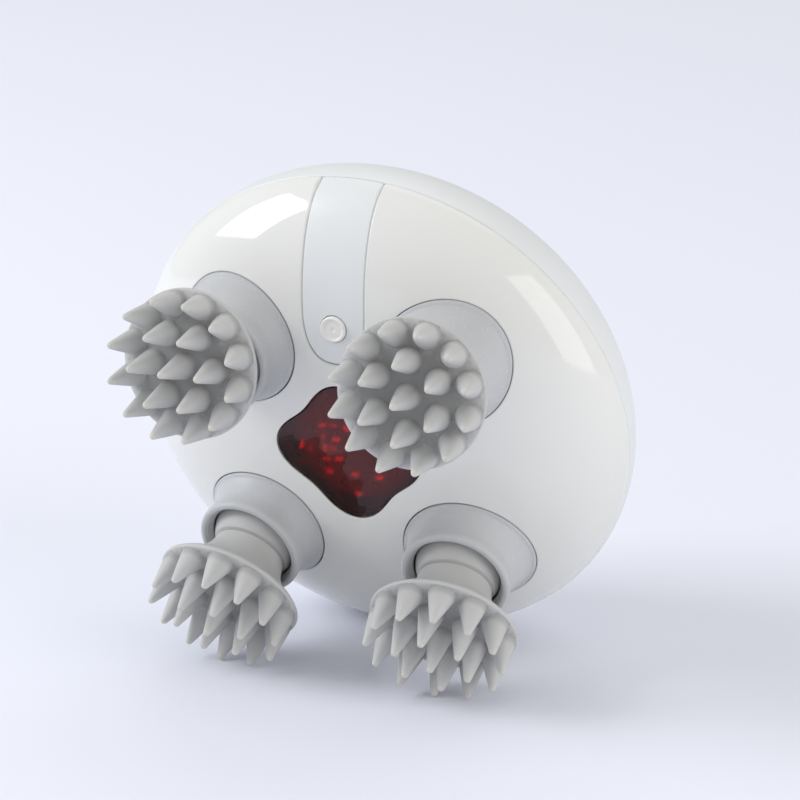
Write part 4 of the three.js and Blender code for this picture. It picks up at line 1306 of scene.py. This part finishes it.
class Skin:
    """Vertices, faces and tip shares of a pad while it is put together."""

    def __init__(self):
        self.vertices = []
        self.faces = []
        self.tips = []

    def add_ring(self, points, tip=0.0):
        start = len(self.vertices)
        self.vertices += [tuple(p) for p in points]
        self.tips += [tip] * len(points)
        return list(range(start, start + len(points)))

    def join(self, low, high):
        count = len(low)
        for i in range(count):
            k = (i + 1) % count
            self.faces.append((low[i], low[k], high[k], high[i]))


def cone_profile(heads, reach):
    """A cone's side and tip as (radius, height) pairs above its fillet."""
    foot = heads.cone_radius
    tip = heads.cone_tip
    start = heads.cone_fillet
    slope = math.atan((foot - tip) / (reach - tip))
    end = tip * math.cos(slope)
    end_height = reach - tip + tip * math.sin(slope)
    side_steps = 9
    tip_steps = 6
    points = []
    for k in range(1, side_steps + 1):
        share = k / side_steps
        radius = foot + (end - foot) * share + heads.cone_bulge * 4 * share * (1 - share)
        points.append((radius, start + (end_height - start) * share))
    for k in range(1, tip_steps):
        angle = slope + (math.pi / 2 - slope) * k / tip_steps
        points.append((tip * math.cos(angle), reach - tip + tip * math.sin(angle)))
    return points


def add_cone(skin, heads, cone, front_r, sides=36):
    """Adds a cone with its fillet, and returns its foot on the pad's front as (x, y) points."""
    edge_room = 0.03 * MM
    least_fillet = 0.02 * MM
    foot_share = 0.1
    turn, place, tip_place, tip_height = cone
    direction = Vector((math.cos(math.radians(turn)), math.sin(math.radians(turn)), 0))
    base = direction * place
    base.z = front_height(heads, place)
    lean = direction * tip_place + Vector((0, 0, tip_height)) - base
    turns = np.linspace(0, 2 * math.pi, sides, endpoint=False)
    outs = [Vector((math.cos(t), math.sin(t), 0)) for t in turns]
    foot = heads.cone_radius
    room = []
    for out in outs:
        along = base.x * out.x + base.y * out.y
        limit = math.sqrt(along * along - place * place + (front_r - edge_room) ** 2) - along
        room.append(max(least_fillet, min(heads.cone_fillet, limit - foot)))
    # A cone's shares start from the front's share, which darkens its foot with painted shade, and rise towards its
    # tip.
    low = front_share(heads, place)
    feet = None
    previous = None
    steps = 4
    for k in range(steps + 1):
        bend = k / steps * math.pi / 2
        rise = heads.cone_fillet * (1 - math.cos(bend))
        points = []
        for out, width in zip(outs, room):
            point = base + lean * (rise / lean.z) + out * (foot + width * (1 - math.sin(bend)))
            ground = front_height(heads, math.hypot(point.x, point.y)) + rise
            hold = (k / steps) ** 2
            point.z = ground * (1 - hold) + (base.z + rise) * hold
            points.append(point)
        ring = skin.add_ring(points, low + foot_share * k / steps)
        if previous:
            skin.join(previous, ring)
        feet = feet or [(p.x, p.y) for p in points]
        previous = ring
    for radius, height in cone_profile(heads, lean.z):
        middle = base + lean * (height / lean.z)
        share = foot_share + low + (1 - foot_share - low) * height / lean.z
        ring = skin.add_ring([middle + out * radius for out in outs], share)
        skin.join(previous, ring)
        previous = ring
    point = skin.add_ring([base + lean], 1.0)[0]
    for i in range(sides):
        skin.faces.append((previous[i], previous[(i + 1) % sides], point))
    return feet


def make_pad(name, heads):
    """A soft pad: hollow beaded neck, flared underside, thin rim, crowned front and round-ended cones."""
    neck_share = 0.35
    spacing = 0.85 * MM
    inner_turn, settled = HEADS[name][2:]
    skin = Skin()
    previous = None
    profile = pad_profile(heads)
    for radius, height in profile:
        points = [(x, y, height) for x, y in circle(0, 0, radius, heads.steps)]
        ring = skin.add_ring(points, neck_share)
        if previous:
            skin.join(previous, ring)
        previous = ring
    front_r = profile[-1][0]
    feet = [add_cone(skin, heads, cone, front_r) for cone in cone_list(heads, inner_turn)]
    flat, front, _ = filled_region(circle(0, 0, front_r, heads.steps), feet, spacing)
    points = [(x, y, front_height(heads, math.hypot(x, y))) for x, y in flat]
    ring = skin.add_ring(points)
    # The front's shares give it painted shade between the cones.
    skin.tips[ring[0]:] = [front_share(heads, math.hypot(x, y)) for x, y in flat]
    skin.faces += [tuple(ring[i] for i in face) for face in front]
    matrix = head_frame(name) @ Matrix.Rotation(math.radians(settled), 4, "Z")
    piece = add_mesh("head_pad_" + name + "_soft", skin.vertices, skin.faces, matrix)
    piece.data.attributes.new("tip", "FLOAT", "POINT").data.foreach_set("value", skin.tips)
    tidy(piece, distance=2e-5)
    piece.data.shade_smooth()
    paint(piece, shared(pad_silicone))
    carry(piece, "head_" + name, "silicone", "head_pad_" + name)


def inner_finishes():
    """Finishes for the solids inside the body, by their slot in the record."""
    return {
        "seal_rubber": moulded("black_seal", (0.012, 0.012, 0.013), 0.75),
        "black_plastic": moulded("black_moulding", (0.012, 0.012, 0.014), 0.45),
        "inner_plastic": moulded("natural_moulding", tint(217, 214, 200), 0.5),
        "gear_plastic": moulded("acetal_gear", tint(238, 235, 222), 0.35),
        "steel": moulded("turned_steel", tint(176, 180, 184), 0.28, 500, Metallic=1.0),
        "bronze": moulded("sintered_bronze", tint(178, 132, 80), 0.42, 700, Metallic=1.0),
        "copper": moulded("enamelled_copper", tint(196, 120, 72), 0.3, 600, Metallic=1.0),
        "circuit_board": moulded("green_board", tint(28, 88, 54), 0.4),
        "cell_pouch": moulded("foil_pouch", tint(190, 194, 198), 0.32, 200, Metallic=0.9),
    }


def dress_mechanism():
    """Gives each solid that still shows the finish of its slot in the record."""
    finishes = inner_finishes()
    slots = {part["node"]: part["material_slot"] for part in frame["record"]["subparts"]}
    for name, node in frame["nodes"].items():
        if node.hide_render:
            continue
        slot = slots[name]
        if slot in finishes:
            paint(node, finishes[slot])


# Stage


def floor_finish(stage):
    """Pale matte floor that keeps the object's shadow."""
    material = new_material("pale_floor", stage.floor, 0.75, Specular_IOR_Level=0.25)
    mottle(material, stage.floor, change=0.004, scale=6)
    return material


def make_floor(stage):
    reach = 3.0
    mesh = bpy.data.meshes.new("floor")
    corners = [(-reach, -reach, 0), (reach, -reach, 0), (reach, reach, 0), (-reach, reach, 0)]
    mesh.from_pydata(corners, [], [(0, 1, 2, 3)])
    floor = bpy.data.objects.new("floor", mesh)
    bpy.context.scene.collection.objects.link(floor)
    paint(floor, floor_finish(stage))


def direction_of(azimuth, elevation):
    """Direction from the object, with the azimuth from its front, both in radians."""
    level = math.cos(elevation)
    return Vector((math.sin(azimuth) * level, -math.cos(azimuth) * level, math.sin(elevation)))


def add_softbox(name, azimuth, elevation, distance, size, power, shade, roll=0):
    """A rectangular softbox that faces the object, with its angles in degrees."""
    aim = Vector((0, 0, 0.055))
    direction = direction_of(math.radians(azimuth), math.radians(elevation))
    light = bpy.data.lights.new(name, "AREA")
    light.shape = "RECTANGLE"
    light.size, light.size_y = size
    light.energy = power
    light.color = shade
    lamp = bpy.data.objects.new(name, light)
    lamp.location = aim + direction * distance
    lamp.rotation_mode = "QUATERNION"
    turn = Matrix.Rotation(math.radians(roll), 3, direction)
    lamp.rotation_quaternion = turn.to_quaternion() @ (-direction).to_track_quat("-Z", "Y")
    bpy.context.scene.collection.objects.link(lamp)


# Softboxes as (azimuth, elevation, distance, size), in degrees and metres
LEFT_SOFTBOX = (-69, 31.5, 1.2, (0.6, 0.68))
RIGHT_SOFTBOX = (77, 13.5, 1.2, (0.76, 1.16))
BACK_SOFTBOX = (180, 58, 1.5, (1.4, 0.8))


def make_lights(stage):
    """Even light from all sides and three softboxes."""
    cool = (0.94, 0.97, 1.0)
    warm = (1.0, 0.99, 0.965)
    world = bpy.data.worlds.new("studio")
    world.use_nodes = True
    background = world.node_tree.nodes["Background"]
    background.inputs["Color"].default_value = (1.0, 0.993, 0.98, 1)
    background.inputs["Strength"].default_value = stage.fill
    bpy.context.scene.world = world
    add_softbox("left_softbox", *LEFT_SOFTBOX, stage.left_light, cool)
    add_softbox("right_softbox", *RIGHT_SOFTBOX, stage.right_light, warm, roll=8)
    add_softbox("back_softbox", *BACK_SOFTBOX, stage.back_light, cool)


def make_camera(stage):
    """Camera at the photograph's angle."""
    data = bpy.data.cameras.new("camera")
    data.lens = stage.focal_length
    data.sensor_width = 36
    data.clip_start = 0.05
    data.clip_end = 20
    camera = bpy.data.objects.new("camera", data)
    back = direction_of(stage.camera_azimuth, stage.camera_elevation)
    level = Vector((0, 0, 1)).cross(back).normalized()
    right = Matrix.Rotation(stage.camera_roll, 3, back) @ level
    place = Vector(stage.camera_aim) + back * stage.camera_distance
    camera.matrix_world = basis(right, back.cross(right), back, place)
    bpy.context.scene.collection.objects.link(camera)
    bpy.context.scene.camera = camera
    bpy.context.scene.view_settings.view_transform = "Standard"


# Operators


class MASSAGER_OT_face_shell(bpy.types.Operator):
    """Makes the glossy face shell with its openings"""

    bl_idname = "massager.face_shell"
    bl_label = "Face shell"

    def execute(self, context):
        make_face_shell(context.scene.massager_shell, context.scene.massager_head)
        return {"FINISHED"}


class MASSAGER_OT_rear_cover(bpy.types.Operator):
    """Makes the satin rear cover"""

    bl_idname = "massager.rear_cover"
    bl_label = "Rear cover"

    def execute(self, context):
        make_rear_cover(context.scene.massager_shell)
        return {"FINISHED"}


class MASSAGER_OT_tongue(bpy.types.Operator):
    """Makes the tongue panel"""

    bl_idname = "massager.tongue"
    bl_label = "Tongue panel"

    def execute(self, context):
        make_tongue(context.scene.massager_shell)
        return {"FINISHED"}


class MASSAGER_OT_button(bpy.types.Operator):
    """Makes the push button"""

    bl_idname = "massager.button"
    bl_label = "Push button"

    def execute(self, context):
        make_button(context.scene.massager_shell)
        return {"FINISHED"}


class MASSAGER_OT_window(bpy.types.Operator):
    """Makes the red lens, and the lit board and tray under it"""

    bl_idname = "massager.window"
    bl_label = "Window"

    def execute(self, context):
        make_window(context.scene.massager_shell)
        make_lamps(make_lamp_board())
        make_tray(context.scene.massager_shell)
        return {"FINISHED"}


class MASSAGER_OT_collars(bpy.types.Operator):
    """Makes the four silicone collars"""

    bl_idname = "massager.collars"
    bl_label = "Collars"

    def execute(self, context):
        for name in HEADS:
            make_collar(name, context.scene.massager_head, context.scene.massager_shell)
        return {"FINISHED"}


class MASSAGER_OT_pads(bpy.types.Operator):
    """Makes the four soft massage pads with their cones"""

    bl_idname = "massager.pads"
    bl_label = "Massage pads"

    def execute(self, context):
        for name in HEADS:
            make_pad(name, context.scene.massager_head)
        return {"FINISHED"}


class MASSAGER_OT_mechanism(bpy.types.Operator):
    """Gives the solids inside the body their finishes"""

    bl_idname = "massager.mechanism"
    bl_label = "Mechanism finishes"

    def execute(self, context):
        dress_mechanism()
        return {"FINISHED"}


class MASSAGER_OT_stage(bpy.types.Operator):
    """Sets up the floor, the softboxes and the camera"""

    bl_idname = "massager.stage"
    bl_label = "Stage"

    def execute(self, context):
        stage = context.scene.massager_stage
        make_floor(stage)
        make_lights(stage)
        make_camera(stage)
        return {"FINISHED"}


OPERATORS = (
    MASSAGER_OT_face_shell,
    MASSAGER_OT_rear_cover,
    MASSAGER_OT_tongue,
    MASSAGER_OT_button,
    MASSAGER_OT_window,
    MASSAGER_OT_collars,
    MASSAGER_OT_pads,
    MASSAGER_OT_mechanism,
    MASSAGER_OT_stage,
)


class MASSAGER_PT_builder(bpy.types.Panel):
    """Lists the settings and the steps that build the massager"""

    bl_idname = "MASSAGER_PT_builder"
    bl_label = "Scalp massager"
    bl_space_type = "VIEW_3D"
    bl_region_type = "UI"
    bl_category = "Massager"

    def draw(self, context):
        layout = self.layout
        scene = context.scene
        for group in SETTINGS:
            settings = getattr(scene, group)
            box = layout.box()
            for name in settings.bl_rna.properties.keys():
                if name not in ("rna_type", "name"):
                    box.prop(settings, name)
        column = layout.column(align=True)
        for operator in OPERATORS:
            column.operator(operator.bl_idname)


SETTINGS = {
    "massager_shell": MASSAGER_PG_shell,
    "massager_head": MASSAGER_PG_head,
    "massager_finish": MASSAGER_PG_finish,
    "massager_stage": MASSAGER_PG_stage,
}


def register():
    for group in SETTINGS.values():
        bpy.utils.register_class(group)
    for operator in OPERATORS:
        bpy.utils.register_class(operator)
    bpy.utils.register_class(MASSAGER_PT_builder)
    for name, group in SETTINGS.items():
        setattr(bpy.types.Scene, name, PointerProperty(type=group))


def unregister():
    for name in SETTINGS:
        delattr(bpy.types.Scene, name)
    bpy.utils.unregister_class(MASSAGER_PT_builder)
    for operator in reversed(OPERATORS):
        bpy.utils.unregister_class(operator)
    for group in reversed(list(SETTINGS.values())):
        bpy.utils.unregister_class(group)


def main():
    register()
    bpy.ops.massager.face_shell()
    bpy.ops.massager.rear_cover()
    bpy.ops.massager.tongue()
    bpy.ops.massager.button()
    bpy.ops.massager.window()
    bpy.ops.massager.collars()
    bpy.ops.massager.pads()
    bpy.ops.massager.mechanism()
    bpy.ops.massager.stage()


if __name__ == "__main__":
    main()
